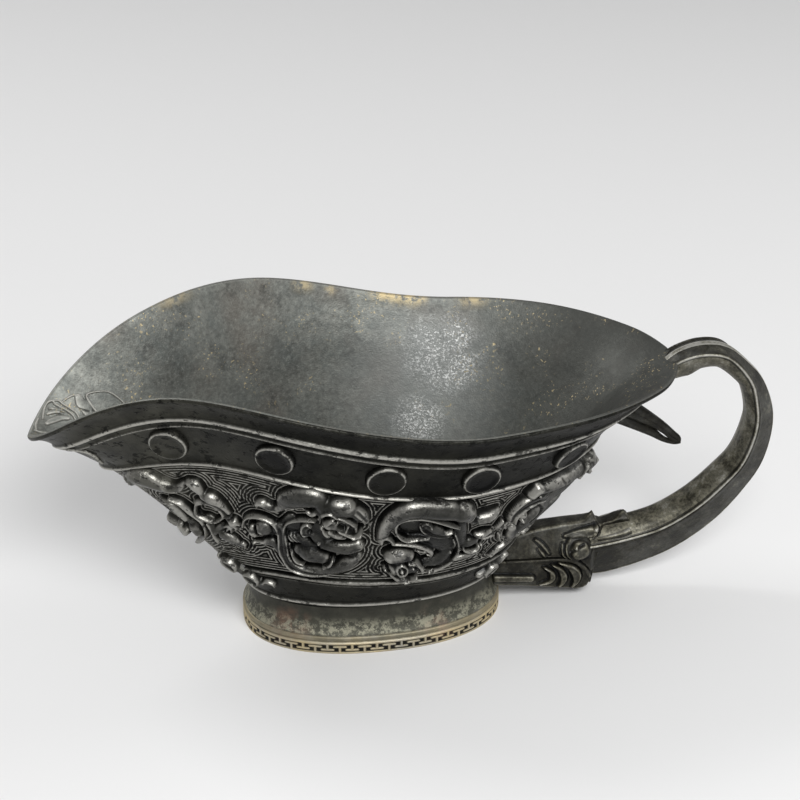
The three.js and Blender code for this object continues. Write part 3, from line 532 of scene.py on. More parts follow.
# The second dragon: hooked mane, looped limbs round a peach boss, haunch, and a head turned to the tail
SHOULDER_DRAGON = (
    ("body", [(31.9, 60.3), (34.1, 59.2), (36.2, 55.3), (37.9, 50.5)], (1.4, 1.6, 1.5, 1.2), 0.9),
    ("body", [(37.7, 55.2), (39.7, 53.8), (41.6, 54.6), (42.7, 56.8)], (1.8, 2.2, 2.2, 1.8), 0.9),
    ("body", [(37.5, 43.3), (38.6, 40.8), (40.4, 38.1), (42.1, 37.1), (43.2, 38.8)],
     (1.6, 2.8, 3.2, 2.8, 2), (1.8, 2.5, 2.9, 2.9, 2.6)),
    ("body", [(33.1, 48.2), (33.5, 46.2), (34.3, 45.1), (34.9, 46.2), (35.9, 46.9), (37, 45.5),
     (37.9, 43.1)], (0.5, 0.9, 1.15, 1.3, 1.35, 1.3, 1.3), (1.4, 1.9, 2.1, 2, 1.9, 1.9, 2)),
    ("cut", [(34.3, 46.1), (33.8, 47.2), (33.4, 48.3)], 0.3, 0.7),
    ("cut", [(34.8, 48.6), (34.7, 49.9)], 0.17, 0.45),
    ("cut", [(35.3, 48.6), (35.2, 49.8)], 0.17, 0.45),
    ("cut", [(35.8, 48.4), (35.7, 49.5)], 0.17, 0.45),
    ("cut", [(36.3, 47.9), (36.3, 49)], 0.17, 0.45),
    ("cut", [(36.9, 47), (36.9, 48.1)], 0.17, 0.45),
    ("cord", [(38, 44.8), (38.4, 43.4), (38.9, 43.1), (39.2, 43.7)], (0.25, 0.32, 0.34, 0.2), 2.5),
    ("cut", [(38, 45.7), (38.6, 44.9), (39.1, 44.9)], 0.25, 0.6),
    ("body", [(40.9, 43.6), (41.5, 43.9), (42.3, 41.9)], (0.7, 0.9, 1), (2.4, 2.8, 2.9)),
    ("cord", [(28.7, 58.1), (29.6, 55.1), (31.2, 52.7), (32.7, 52.2), (34, 52.8), (35, 54.4),
     (35.2, 57.8), (34.7, 62.1), (34.1, 66.5), (33.9, 71.6), (34.3, 75.6), (36, 77.6), (38.9, 77.6),
     (41.6, 76)], (0.35, 0.45, 0.5, 0.5, 0.5, 0.5, 0.48, 0.45, 0.45, 0.45, 0.45, 0.42, 0.38, 0.25), 2.2),
    ("line", [(29.9, 56.9), (30.8, 54.4), (31.9, 53.1), (33, 53), (34.1, 53.9), (34.5, 56.3),
     (34.4, 59.7)], 0.3, 0.3),
    ("body", [(35.2, 54.9), (36.1, 55.5), (35.7, 60.2), (34.9, 66.1), (34.6, 71.3), (35.6, 74.7),
     (37.8, 75.6), (40.4, 75)], (0.9, 1, 0.9, 0.85, 0.95, 1.2, 1.3, 1.2),
     (1.6, 1.8, 1.8, 1.7, 1.7, 1.8, 1.8, 1.6)),
    ("cord", [(36.1, 57.9), (36.7, 54.4), (37.7, 51.7), (39.2, 49.7), (40.5, 48.8), (41.6, 48.7)],
     (0.3, 0.4, 0.42, 0.42, 0.4, 0.25), 2.1),
    ("cord", [(36.3, 58.9), (35.7, 64.8), (35.4, 69.9), (35.9, 73), (37.3, 74.9), (39.3, 75.4)],
     (0.22, 0.26, 0.28, 0.28, 0.26, 0.2), 2.2),
    ("cord", [(36.2, 63.5), (36, 67.8), (36.3, 70.4), (36.9, 72)], (0.18, 0.24, 0.26, 0.2), 1.9),
    ("cord", [(35.2, 67.8), (35.2, 71.7), (35.9, 74.1), (37.4, 75.8)], (0.18, 0.22, 0.22, 0.16), 2.15),
    ("body", [(32.7, 57.7)], 2.4, 2.6),
    ("body", [(30.5, 57.9), (30, 60.2), (30.2, 61.9)], (0.8, 1.1, 0.8), (1.9, 2.4, 2)),
    ("cut", [(31.5, 56.3), (31.1, 58.6), (30.9, 60.9)], 0.3, 0.9),
    ("line", [(31.5, 59.3), (32.2, 58.4), (32.2, 59.9)], 0.5, 0.35),
    ("body", [(28.8, 66.2)], 0.55, 1.8),
    ("body", [(29.3, 66.1), (31.1, 65.6), (32.5, 64.6), (33.3, 65.5), (33.6, 68.5)],
     (0.4, 0.8, 1.4, 1.2, 0.8), (1.1, 1.5, 1.8, 1.8, 1.6)),
    ("body", [(39.9, 54.8)], 1.9, 2.1),
    ("cord", [(40.8, 51.5), (40.3, 50.5), (39.5, 52.4), (39.2, 54.7), (39.4, 56.4), (40, 56)],
     (0.3, 0.42, 0.48, 0.5, 0.45, 0.3), 2.4),
    ("cut", [(40.4, 54.1)], 0.6, 1.5),
    ("body", [(40.7, 56.1), (41.1, 58.3), (41.8, 59.8), (43, 59.7)], (1.3, 1.4, 1.3, 1),
     (1.8, 2, 1.9, 1.5)),
    ("body", [(41.4, 58.8)], 0.45, 3),
    ("cord", [(36.7, 58.7), (36.8, 60.4), (37.2, 62.1)], (0.25, 0.3, 0.15), 1.9),
    ("cord", [(37.2, 58), (37.5, 59.6), (38, 61)], (0.25, 0.3, 0.15), 2),
    ("cord", [(37.7, 57.8), (38.1, 59.4), (38.5, 60.7)], (0.25, 0.3, 0.15), 1.9),
    ("body", [(37, 58.1), (38.1, 59.6), (39.4, 61.2), (40.6, 62.6)], (0.8, 1.3, 1.3, 1),
     (1.4, 1.7, 1.7, 1.5)),
    ("body", [(37.9, 65.2), (39.4, 65.6), (41.1, 67.2)], (1.9, 2.7, 2), (2.4, 3.5, 2.8)),
    ("cord", [(36.4, 66.4), (36.1, 69.1), (36.4, 71.6), (37.5, 72.7)], (0.25, 0.3, 0.4, 0.3), 2.2),
    ("cord", [(42.8, 67.2), (42.2, 69.8), (41, 71.8)], (0.4, 0.55, 0.35), 2.9),
    ("body", [(39.4, 76.1), (42.1, 73.6), (44.1, 70.8), (45.6, 67.5), (46.4, 64.2)],
     (1, 1.8, 2.1, 2, 1.6), (1.4, 2.2, 2.6, 2.6, 2.3)),
    ("body", [(41.7, 61.2), (43.4, 60.7), (45.2, 60.6), (46.6, 59.4)], (1.2, 1.8, 2.2, 2),
     (2, 2.6, 2.8, 2.4)),
    ("cut", [(40.9, 62.1), (42, 64.4), (43.8, 65.1), (45.5, 64.7), (46.6, 62.5)], 0.35, 0.8),
    ("body", [(43.3, 39.8), (44.6, 38.7), (45.8, 38.4)], (2.2, 2.7, 2.7), (3.3, 3.9, 3.9)),
    ("body", [(46.8, 39.3), (47.5, 41.9), (48.1, 45.3)], (1.8, 1.9, 1), (3.4, 2.9, 1.8)),
    ("cut", [(46.6, 38.6), (47.3, 42.3), (47.8, 45.7)], 0.22, 0.5),
    ("cut", [(47.2, 37.8), (47.9, 41.5), (48.3, 44.9)], 0.22, 0.5),
    ("line", [(46.9, 38.5), (47.6, 41.9), (48, 45.3)], 0.3, 0.3),
    ("body", [(43.5, 47), (44.6, 47.3), (45.8, 49.2)], (1.9, 2, 1.6), (3.8, 3.5, 3.3)),
    ("cord", [(42.5, 44.8), (42.8, 41.7), (43.6, 39.3), (44.3, 39.3), (44.6, 40.9)],
     (0.35, 0.5, 0.6, 0.55, 0.35), 4.5),
    ("body", [(43.2, 45), (44.2, 42.3)], (0.8, 0.75), 4.8),
    ("cut", [(42.8, 45.6), (43.6, 43.6), (44.4, 42.2)], 0.25, 0.8),
    ("body", [(44.7, 43.4)], 0.45, 4.4),
    ("cord", [(44.6, 40.9), (45.5, 41.5), (46.4, 43.6), (46.9, 46.4), (46.7, 48.4)],
     (0.3, 0.36, 0.38, 0.36, 0.25), 4.3),
    ("cut", [(44.9, 46.5), (45.6, 47.7), (46.2, 48.9)], 0.9, 1.3),
    ("cord", [(44.6, 48.9), (45.5, 50.2), (46.3, 51.1)], (0.3, 0.36, 0.4), 4),
    ("cord", [(45.5, 49.2), (45.9, 46.2)], 0.3, 3.9),
    ("body", [(46.3, 51.6), (47.3, 50.2)], (0.75, 0.7), 4),
    ("cut", [(44, 52.2), (45, 52.9), (46, 53.8)], 0.32, 1.2),
    ("body", [(43.2, 51.9), (44.1, 53.9), (45.1, 54.9)], (1, 1.1, 0.7), (2.8, 2.6, 2)),
    ("cord", [(42.5, 49.1), (42.6, 51.8), (43.1, 53.6)], (0.35, 0.45, 0.3), 3.4),
    ("body", [(42.4, 49)], 0.6, 3.4),
)

# The third dragon: an arched body over a looped limb, its head turned down, a whisker and forepaws
FLANK_DRAGON = (
    ("body", [(53, 48.6), (54.6, 49.7), (56.6, 51.2)], (2, 2.4, 2), 0.8),
    ("body", [(56.1, 54.6), (58.3, 58.1), (59.8, 61.7)], (2.4, 2.8, 2.4), 1.4),
    ("body", [(49.9, 56.3), (50.2, 51.2), (50.8, 45.3), (51.8, 40.9), (53.2, 37.7), (54.9, 37.1),
     (56.8, 37.7), (58.3, 38.2)], (1.1, 1.7, 2.1, 2.4, 2.6, 2.7, 2.9, 3),
     (1.6, 2.3, 2.8, 3, 3.2, 3.3, 3.5, 3.6)),
    ("body", [(58.4, 38), (60, 39.6), (61.1, 42.6)], (2.2, 3, 2.5), (3.2, 4, 3.2)),
    ("cut", [(60.4, 43.5), (60.9, 47.5)], 0.3, 0.6),
    ("cut", [(61.1, 37), (61.7, 38.9)], 0.3, 0.5),
    ("body", [(62.4, 46.8), (63.7, 46.5), (65.2, 45.8), (66, 44.7)], (1.5, 1.7, 1.5, 0.9),
     (2.4, 3, 2.9, 2)),
    ("cut", [(62.1, 43.4), (62.8, 47.9)], 0.35, 0.7),
    ("body", [(64.3, 57.6), (65.4, 57.6), (67, 58)], (0.8, 1, 0.6), (2, 2.4, 1.6)),
    ("cord", [(65.6, 59.9), (66.7, 59.9), (68, 59.5)], (0.35, 0.42, 0.2), 2.2),
    ("cut", [(64.8, 58), (65.8, 57.8), (66.9, 57.8)], 0.2, 0.6),
    ("body", [(60.9, 49), (61.4, 54.9), (61.9, 59.8), (62.5, 63.3)], (1.5, 1.7, 1.5, 1),
     (1.5, 1.5, 1.5, 1.3)),
    ("body", [(63.4, 61.5), (64.4, 61.5)], (1.6, 1.4), (1.9, 1.6)),
    ("cord", [(62.2, 62), (62.9, 65), (64.3, 66.8), (65.4, 66.6), (65.7, 64.8)],
     (0.35, 0.45, 0.48, 0.42, 0.25), 2.2),
    ("body", [(66.4, 65.3)], 0.5, 1.7),
    ("body", [(62.1, 71.1), (63.9, 70.3), (66.6, 70.9)], (0.7, 1, 0.5), (1.3, 1.5, 1)),
    ("cord", [(56.2, 52.9), (54.6, 53.3), (53.3, 54), (52.3, 52.5), (51.7, 49.6), (51.6, 46.8),
     (51.9, 43.6), (52.8, 41.6), (54.2, 40.9), (55.5, 41.4), (57.1, 43.4), (58.8, 46.2), (60.4, 49.1)],
     (0.25, 0.36, 0.4, 0.42, 0.42, 0.42, 0.42, 0.42, 0.42, 0.42, 0.4, 0.38, 0.25), 2.9),
    ("body", [(55.8, 47.9), (57.1, 50.1), (58.6, 52.4), (59.8, 53.3)], (1.2, 1.5, 1.3, 0.8),
     (1.6, 1.9, 1.8, 1.3)),
    ("cord", [(54.8, 47.2), (55.2, 50), (56.3, 52.4), (57.9, 54.2), (59.5, 54.6)],
     (0.25, 0.32, 0.34, 0.32, 0.2), 1.9),
    ("cord", [(55, 45.9), (55.5, 44.7), (56.1, 46), (56.4, 48.4)], (0.35, 0.48, 0.48, 0.3), 2.3),
    ("body", [(58.6, 51.1), (59.3, 50.5)], 0.55, 2.8),
    ("cord", [(60.2, 56.9), (60.6, 59.4), (60.5, 61)], 0.4, 2.1),
    ("body", [(60.2, 63.7)], 0.5, 2.2),
    ("cord", [(60.3, 54.2), (61.3, 60.5), (61.7, 66.4), (60.8, 70.8), (59.4, 73.3), (57.4, 75.6)],
     (0.3, 0.42, 0.45, 0.45, 0.42, 0.3), 2.2),
    ("body", [(56.6, 69.7), (58.1, 69.7), (59.2, 68.3), (59.9, 65.2)], (1.5, 2, 2.2, 1.8),
     (1.4, 1.7, 1.7, 1.6)),
    ("cord", [(51.3, 57.1), (53.1, 57.1), (54.6, 57.8), (55.9, 59), (56.8, 61.2), (57, 63.2),
     (56.3, 63.3)], (0.5, 0.62, 0.75, 0.85, 0.85, 0.6, 0.3), (2, 2.2, 2.5, 2.7, 2.7, 2.5, 2.2)),
    ("cord", [(54.8, 60.2), (55.8, 61.1), (56.3, 60.5)], (0.3, 0.36, 0.25), 2.5),
    ("cord", [(49.9, 56.8), (50.2, 53.6), (50.7, 53.3), (51.4, 56.2)], (0.35, 0.42, 0.42, 0.35), 2.5),
    ("cut", [(50.4, 54.7), (50.4, 56.5)], 0.6, 1.2),
    ("body", [(51.1, 63.6), (52.3, 62.7), (53.4, 63.1)], (1.9, 2.3, 1.9), (3.6, 3.9, 3.4)),
    ("body", [(52.2, 69.2), (53.3, 69.9), (54.4, 71.9)], (2.6, 2.5, 1.8), (3.8, 3.4, 2.6)),
    ("cut", [(50.9, 68), (51.9, 66.4), (52.7, 65.9), (53.6, 65.2)], 0.28, 0.7),
    ("cord", [(51.8, 68.2), (52, 66.1), (52.6, 65.4), (53.2, 67), (53.3, 69.5), (52.8, 71.2),
     (52.1, 70.7), (51.8, 68.2)], 0.3, 4.7),
    ("body", [(52.5, 68.5)], 0.75, 4.9),
    ("cut", [(52.7, 70.6)], 0.3, 0.8),
    ("body", [(51.4, 69.1), (51.5, 71.9)], (0.9, 0.9), (3.6, 3.2)),
    ("body", [(50.3, 70.9)], 0.6, 2.8),
    ("body", [(49.9, 73.3)], 0.35, 1.8),
    ("cord", [(53.5, 65.5), (54.7, 66.1), (55.5, 68.6)], (0.45, 0.6, 0.5), 3.9),
    ("body", [(54.3, 68.6)], 0.45, 4),
    ("body", [(55.7, 69.7), (55.9, 72)], (0.75, 0.75), 3.4),
    ("cut", [(53.7, 74.5), (54.6, 73.5), (55.4, 75)], 0.5, 1),
    ("cord", [(53.3, 78), (54.3, 77), (55.2, 75.3)], (0.45, 0.6, 0.4), 3.4),
    ("body", [(51.5, 74.6), (52.5, 77.1), (53.6, 78)], (1.1, 1.3, 1), (2.6, 2.8, 2.6)),
    ("cut", [(51.2, 73.2), (52.3, 75.3), (53.6, 75.9)], 0.3, 0.9),
)

# The dragon near the tail: it climbs to the rim with its head under the last stud
TAIL_DRAGON = (
    ("body", [(74.6, 68), (76, 62.5), (77.4, 57.5), (77.8, 52.5), (76.8, 48.5)], (0.9, 1.9, 2.3, 2.4, 2),
     (1.2, 2.2, 2.7, 2.8, 2.7)),
    ("body", [(70.3, 55.5), (69.8, 51), (70.5, 46.5), (72, 43.6), (74.6, 42.6)], (1, 1.4, 1.6, 1.8, 2),
     (1.5, 1.9, 2.3, 2.6, 2.9)),
    ("cord", [(69.6, 53.6), (69, 48.7), (69.5, 44.8), (70.6, 42), (71.8, 41.9)],
     (0.3, 0.42, 0.45, 0.42, 0.3), 2.8),
    ("cord", [(71, 55.1), (70.4, 51.2), (71, 47.9), (72.3, 46.1), (73.6, 45.6), (75.4, 46.4)],
     (0.35, 0.5, 0.56, 0.52, 0.42, 0.25), 3.1),
    ("body", [(73.2, 54.2)], 1.3, 2.3),
    ("body", [(73.3, 56.6)], 0.5, 3),
    ("cut", [(75.2, 50), (76.8, 52.6), (77.2, 56.4), (76.4, 60)], 0.35, 0.8),
    ("body", [(71.2, 39.9), (72, 37.7)], (1.3, 1.5), 3.1),
    ("body", [(72.9, 38.4), (75, 38.4), (77.6, 39.4), (80.6, 40.8), (84, 41.4)], (1.5, 1.8, 1.9, 2, 2.3),
     (3.1, 3.4, 3.4, 3.3, 3.2)),
    ("body", [(74.6, 45.4), (78, 47.4), (82, 48.6), (85.4, 47)], (1.6, 2.1, 2.1, 1.8),
     (2.6, 2.8, 2.8, 2.8)),
    ("cut", [(71.4, 41.8), (72.6, 42), (73.8, 41)], 0.25, 0.8),
    ("body", [(72.5, 40.5)], 0.45, 3.9),
    ("cut", [(74.6, 42.4), (78, 43.8), (82, 45)], 0.35, 0.9),
    ("cut", [(76.6, 36.8), (77.6, 39.4), (77.8, 42)], 0.25, 0.5),
    ("body", [(87.6, 41.4)], 3.6, 4.2),
    ("cord", [(85, 38.4), (84.2, 41.4), (85, 45), (87.4, 46.6)], (0.25, 0.4, 0.4, 0.25), 3.9),
    ("body", [(85.7, 40.4), (86.4, 42.6)], 0.5, 4.7),
    ("cut", [(86.2, 38.4), (87.2, 40.8), (87.4, 43.6)], 0.3, 0.8),
    ("body", [(88.7, 39), (88.9, 42)], 0.6, 4.3),
    ("cord", [(68.6, 53.4), (68, 57.4)], (0.42, 0.25), 1.9),
    ("cord", [(69.4, 54), (69, 58.2)], (0.42, 0.25), 2),
    ("cord", [(70.3, 54.8), (70.1, 58.8)], (0.42, 0.25), 2),
    ("body", [(71.5, 57.8)], 0.6, 2),
    ("body", [(73, 62), (73.8, 66), (76.4, 70)], (1.3, 1.4, 0.8), (1.8, 1.8, 1.2)),
    ("cord", [(70.2, 63.4), (71, 66.6), (72.6, 69.6)], (0.3, 0.42, 0.25), 1.4),
    ("cord", [(71.2, 76.4), (72.4, 73.2), (73.8, 71.4)], (0.3, 0.5, 0.3), 1.6),
    ("cord", [(75.8, 68.4), (77.4, 70.6), (79.2, 71)], (0.5, 0.5, 0.25), 1.4),
    ("body", [(84, 52.5), (86.2, 58.4), (87.2, 65), (85.8, 71)], (1.5, 1.8, 1.5, 0.8),
     (2.3, 2.5, 2.1, 1.2)),
    ("cord", [(86.6, 69), (85.4, 73.4), (83.6, 75.6)], (0.55, 0.55, 0.25), 1.5),
)

# Small chains of curls low on the plain band
SPOUT_CHAIN = (
    ("body", [(13, 78), (16, 81.4), (18.6, 85), (21.4, 87.6), (25.6, 88.4)], (0.9, 1.2, 1.2, 1.1, 0.6),
     (1.4, 1.6, 1.6, 1.5, 0.9)),
    ("cord", [(13, 80.6), (13.9, 77.6), (16.6, 78), (17.4, 80.8), (15.6, 83), (13, 80.6)], 0.5, 2.2),
    ("cord", [(18.2, 87), (18.8, 84), (21.2, 84.4), (22, 87), (20.2, 89.2), (18.2, 87)], 0.5, 2.1),
    ("cord", [(23, 88.2), (24.8, 86.6), (26.6, 87.6), (26.2, 89.4)], (0.5, 0.5, 0.25), 1.6),
    ("cord", [(11.6, 78.6), (12.4, 76.6)], 0.45, 1.4),
)
TAIL_CHAIN = (
    ("body", [(73.4, 90.6), (77.2, 88.8), (81, 86.2)], (0.8, 1.2, 0.9), (1.3, 1.6, 1.3)),
    ("cord", [(75, 89.6), (76.4, 86.8), (78.6, 87.6), (78, 90.4), (75.8, 91.4), (75, 89.6)], 0.5, 2),
    ("cord", [(80, 87), (81.6, 84.6), (83.2, 85.4)], (0.5, 0.5, 0.25), 1.6),
)

# The crescent that leaves the second ridge under the spout's tip
SPOUT_CRESCENT = (
    ("cord", [(0, 10), (4, 10.3), (6.7, 11.4), (9.4, 13.6), (10.3, 16.4), (9.6, 20), (7.7, 24.3)],
     (0.55, 0.55, 0.55, 0.5, 0.45, 0.35, 0.2), 0.65),
)

# The dragon lying in low relief inside the spout, on its far side
SPOUT_FIGURE = (
    ("cord", [(11.8, 17.2), (12.7, 13.9), (13.6, 11), (14.3, 10.3), (15.1, 11.5), (16.1, 13.7),
     (16.5, 16), (16.5, 18.8), (16.3, 22.5)], (0.4, 0.4, 0.36, 0.32, 0.28, 0.26, 0.26, 0.26, 0.26), 0.5),
    ("cut", [(11.2, 17), (12.1, 13.5), (13.1, 10.3), (14.3, 9.1), (15.4, 10.6)], 0.3, 0.5),
    ("slab", [(13.1, 8.6), (12.3, 10.6), (11.6, 13.2), (10.6, 15.6)], (0.9, 1.3, 1.3, 1), 0.36),
    ("cut", [(12.4, 7), (11.5, 9), (11.1, 11.1), (11.4, 14.5)], 0.22, 0.3),
    ("cord", [(11.3, 5.2), (12.4, 6), (13.1, 6.9), (13.6, 8.7)], (0.2, 0.3, 0.3, 0.15), 0.4),
    ("cord", [(6.8, 2.6), (8.6, 1.6), (9.7, 1.1), (10.5, 1.2), (11, 2.2), (10.5, 3.6), (10.2, 5.7),
     (9.9, 8.1), (9.4, 10.5), (8.5, 12.4)], (0.25, 0.34, 0.36, 0.36, 0.36, 0.34, 0.34, 0.34, 0.3, 0.2),
     0.55),
    ("cord", [(11.1, 2.4), (11.3, 4), (10.9, 5.9), (10.6, 8.1), (10.1, 11.1), (9.1, 13.2)],
     (0.2, 0.3, 0.32, 0.32, 0.3, 0.2), 0.5),
    ("slab", [(8.1, 3.1), (9, 4.6), (9.1, 6.4)], (0.3, 0.6, 0.3), 0.5),
    ("cord", [(9.4, 2.6), (9.7, 5.2), (9.4, 7.8)], (0.2, 0.32, 0.2), 0.45),
    ("slab", [(5.8, 4.6), (7.2, 6), (8.2, 7.8), (8.4, 10)], (0.5, 0.9, 0.9, 0.5), 0.55),
    ("cut", [(6.2, 3.4), (7.6, 4.6), (8.6, 6.6), (9, 9.4)], 0.28, 0.5),
    ("cord", [(3.3, 2.2), (5, 1.4), (6.8, 1.2)], (0.2, 0.3, 0.2), 0.4),
    ("cord", [(2.8, 1.8), (2.2, 3.8), (2.2, 5.8)], (0.2, 0.3, 0.2), 0.4),
    ("cut", [(3.4, 3.6), (5, 2.8), (6.6, 3)], 0.4, 0.35),
)

DRAGONS = {
    "chilong_spout": SPOUT_DRAGON,
    "chilong_shoulder": SHOULDER_DRAGON,
    "chilong_flank": FLANK_DRAGON,
    "chilong_tail": TAIL_DRAGON,
    "chain_spout": SPOUT_CHAIN,
    "chain_tail": TAIL_CHAIN,
}
# Those that lie on the carved belt, whose lines run round them
BELT_DRAGONS = (SPOUT_DRAGON, SHOULDER_DRAGON, FLANK_DRAGON, TAIL_DRAGON)
# Reliefs that stand for no solid of their own
TRIMS = {"spout_crescent": SPOUT_CRESCENT}


def length_round(left, right, level, steps):
    """Length round the wall between two places at one level, all in percent, in millimetres."""
    return gaps(on_wall(np.stack([np.linspace(left, right, steps), np.full(steps, level)], 1))).sum()


def wall_patch(left, right, top, bottom):
    """Grid over a part of the front wall between limits in percent: the angles, the shares,
    the points in space and the outward directions."""
    columns = int(length_round(left, right, (top + bottom) / 2, 40) / RELIEF_PITCH)
    angle = np.pi * np.linspace(left, right, columns) / 100
    rows = int(wall_depth(angle).max() / MM * (bottom - top) / 100 / RELIEF_PITCH)
    share = np.repeat(np.linspace(top, bottom, rows)[:, None] / 100, columns, 1)
    return angle, share, wall(angle, share), outward(angle, share)


def patch_limits(strokes, margins):
    """Box in percent round a list of strokes, with margins round the cup and down the wall."""
    flat = np.array([point for _, points, _, _ in strokes for point in points], float)
    low = flat.min(0) - margins
    high = flat.max(0) + margins
    return max(low[0], 0), min(high[0], 100), low[1], min(high[1], 99.5)


# Margins, in percent, of the patch of wall that a relief is carved on
RELIEF_MARGINS = (2.6, 5.5)
FIGURE_MARGINS = (1.2, 2.0)
# The figure stays this far, in percent, under the rim, clear of the half round lip
FIGURE_TOP = 0.8
# How deep a relief may sink into its wall, and the depth below which it is cut away, in millimetres
LOWEST = -1.1
TRIM = -0.5
FIGURE_LOWEST = -0.4
FIGURE_TRIM = -0.25
# Half widths, in millimetres, of the stretches with which a point's height is compared for rubbing and
# painted light
FINE_SPAN = 0.5
BROAD_SPAN = 1.6


def build_relief(name, strokes, material, nodes=()):
    """A dragon or chain: the wall lifted along its normal by the strokes' relief, and cut
    away where the relief has sunk below the wall."""
    _, _, points, normal = wall_patch(*patch_limits(strokes, RELIEF_MARGINS))
    height = blurred(np.maximum(relief(points / MM, strokes, on_wall), LOWEST), 1, 1)
    lifted = points + normal * (height * MM)[..., None]
    surface = cut_away(lifted, grid_faces(*height.shape), wear_and_light_from_height(height), height, TRIM)
    add_both_sides(name, *surface, material, "relief_bronze", nodes)


def build_spout_figure(material):
    """The figure inside the spout: the bowl's inner wall lifted inwards by its strokes.

    Its table counts percentages round the rim from the spout's tip to the far side.
    """
    left, right, top, bottom = patch_limits(SPOUT_FIGURE, FIGURE_MARGINS)
    angle, share, _, normal = wall_patch(200 - right, 200 - left, max(top, FIGURE_TOP), bottom)

    def on_inside(percent):
        """Points in space, in millimetres, for places on the inner wall in percent."""
        return inner_wall(np.pi * (2 - percent[:, 0] / 100), (percent[:, 1] / 100)[None, :])[0] / MM

    points = inner_wall(angle, share)
    height = np.maximum(relief(points / MM, SPOUT_FIGURE, on_inside), FIGURE_LOWEST)
    lifted = points - normal * (height * MM)[..., None]
    # Crests lighter and hollows darker: rubbed metal and patina, partly a painted highlight and painted
    # shade
    wear_and_light = np.clip(0.38 + 1.6 * standing(height, FINE_SPAN), 0, 1)
    surface = cut_away(lifted, grid_faces(*height.shape)[:, ::-1], wear_and_light, height, FIGURE_TRIM)
    finish(make_mesh("spout_figure", *surface), material, "body_bronze")


def blurred(values, size, times=2):
    """Box blur of a grid, size points each way."""
    for _ in range(times):
        for axis in (0, 1):
            pad = [(0, 0), (0, 0)]
            pad[axis] = (size + 1, size)
            total = np.cumsum(np.pad(values, pad, mode="edge"), axis=axis)
            high = np.take(total, range(2 * size + 1, total.shape[axis]), axis=axis)
            low = np.take(total, range(0, total.shape[axis] - 2 * size - 1), axis=axis)
            values = (high - low) / (2 * size + 1)
    return values


def standing(height, span):
    """How far each point of a grid stands above the surface round it, within a half width."""
    return height - blurred(height, int(span / RELIEF_PITCH))


def wear_and_light_from_height(height, contrast=1.0):
    """How rubbed and how lit each point is, from 0 to 1: a middle value, more where it stands out; raised
    parts get rubbed metal and a painted highlight, hollows dark patina and painted shade.
    """
    height = np.maximum(height, -THREAD_DEPTH)
    fine = 0.45 * np.tanh(2.4 * standing(height, FINE_SPAN))
    return np.clip(0.39 + contrast * (fine + 0.24 * standing(height, BROAD_SPAN)), 0, 1)


# The bowl


def bump(distance, half):
    """Rounded ridge across a line: 1 on the line, 0 half a width away."""
    return np.cos(np.pi / 2 * np.clip(distance / half, -1, 1)) ** 2


# Drift of the two upper ridges: how far, in metres, the angle it starts at and the angle it takes
DRIFT = 0.0014
DRIFT_START = 1.9
DRIFT_SPAN = 0.7


def ridge_drift(angle):
    """How much further from the rim the two upper ridges run towards the tail."""
    return DRIFT * ease((np.arccos(np.cos(angle)) - DRIFT_START) / DRIFT_SPAN)


def marks(angle):
    """Distances down the wall, in metres, of the raised lines, and the wall's depth."""
    s = sizes()
    depth = wall_depth(angle)
    drift = ridge_drift(angle)
    return (
        s.first_ridge + drift,
        s.second_ridge + drift,
        belt_top(angle) * depth,
        BELT_BOTTOM * depth,
        NECK_RIDGE * depth,
        depth,
    )


# Raised lines: which mark, offset from it, half width of the flat top, half width of the
# whole line and height, all in millimetres
RAISED_LINES = (
    (0, 0.0, 0.3, 0.85, 0.62),
    (1, 0.0, 0.0, 0.58, 0.5),
    (2, 0.0, 0.1, 0.62, 0.75),
    (3, 0.0, 0.32, 0.62, 0.5),
    (3, 1.4, 0.0, 0.38, 0.35),
    (4, 0.0, 0.0, 0.8, 0.75),
)
# In millimetres: the belt's ground starts BELT_EDGE from the middle of its border lines, with a
# slope BELT_STEP wide, and its first carved line runs FIRST_CUT from them
BELT_EDGE = 0.42
BELT_STEP = 0.3
FIRST_CUT = 1.15
# Depths, in millimetres, of the hollow under the lip and of the wall behind the carved belt
LIP_HOLLOW = 0.4
BELT_SINK = 0.6


def wall_form(angle, drop):
    """Height, in millimetres, of the plain outer wall's raised lines and hollows."""
    lines = marks(angle)
    height = np.zeros(drop.shape)
    for mark, offset, flat, half, rise in RAISED_LINES:
        beyond = np.maximum(np.abs(drop - lines[mark] - offset * MM) - flat * MM, 0)
        height = np.maximum(height, rise * bump(beyond, (half - flat) * MM))
    to_first = np.clip(drop / (lines[0] - 0.7 * MM), 0, 1)
    height -= LIP_HOLLOW * np.sin(np.pi * to_first) ** 0.8
    below = ease((drop - lines[2] - BELT_EDGE * MM) / (BELT_STEP * MM))
    above = ease((lines[3] - BELT_EDGE * MM - drop) / (BELT_STEP * MM))
    return height - BELT_SINK * below * above


def spaced(start, end, count):
    """Rows of distances from one line to another, each line given round the bowl."""
    return start + (end - start) * np.linspace(0, 1, count, endpoint=False)[:, None]


def outer_rows(angle):
    """Distances down the outer wall of the rows of points, closer together at each line."""
    s = sizes()
    first, second, top, bottom, neck, depth = marks(angle)
    half_lip = s.lip / 2
    stops = (
        (half_lip + 0 * depth, 9),
        (first - 1.0 * MM, 13),
        (first + 1.0 * MM, 2),
        (second - 0.65 * MM, 9),
        (second + 0.65 * MM, 9),
        (top - 0.7 * MM, 12),
        (top + 0.8 * MM, 12),
        (bottom - 0.8 * MM, 12),
        (bottom + 0.7 * MM, 2),
        (bottom + 0.95 * MM, 8),
        (bottom + 1.85 * MM, 8),
        (neck - 1.0 * MM, 10),
        (neck + 0.9 * MM, 3),
        (depth, 1),
    )
    rows = [spaced(stops[i][0], stops[i + 1][0], stops[i][1]) for i in range(len(stops) - 1)]
    return np.vstack([*rows, depth[None, :]])


# Share of the depth at which the wall has its full thickness, and the rounding into the floor
FULL_WALL = 0.25
FLOOR_ROUNDING = 4.0


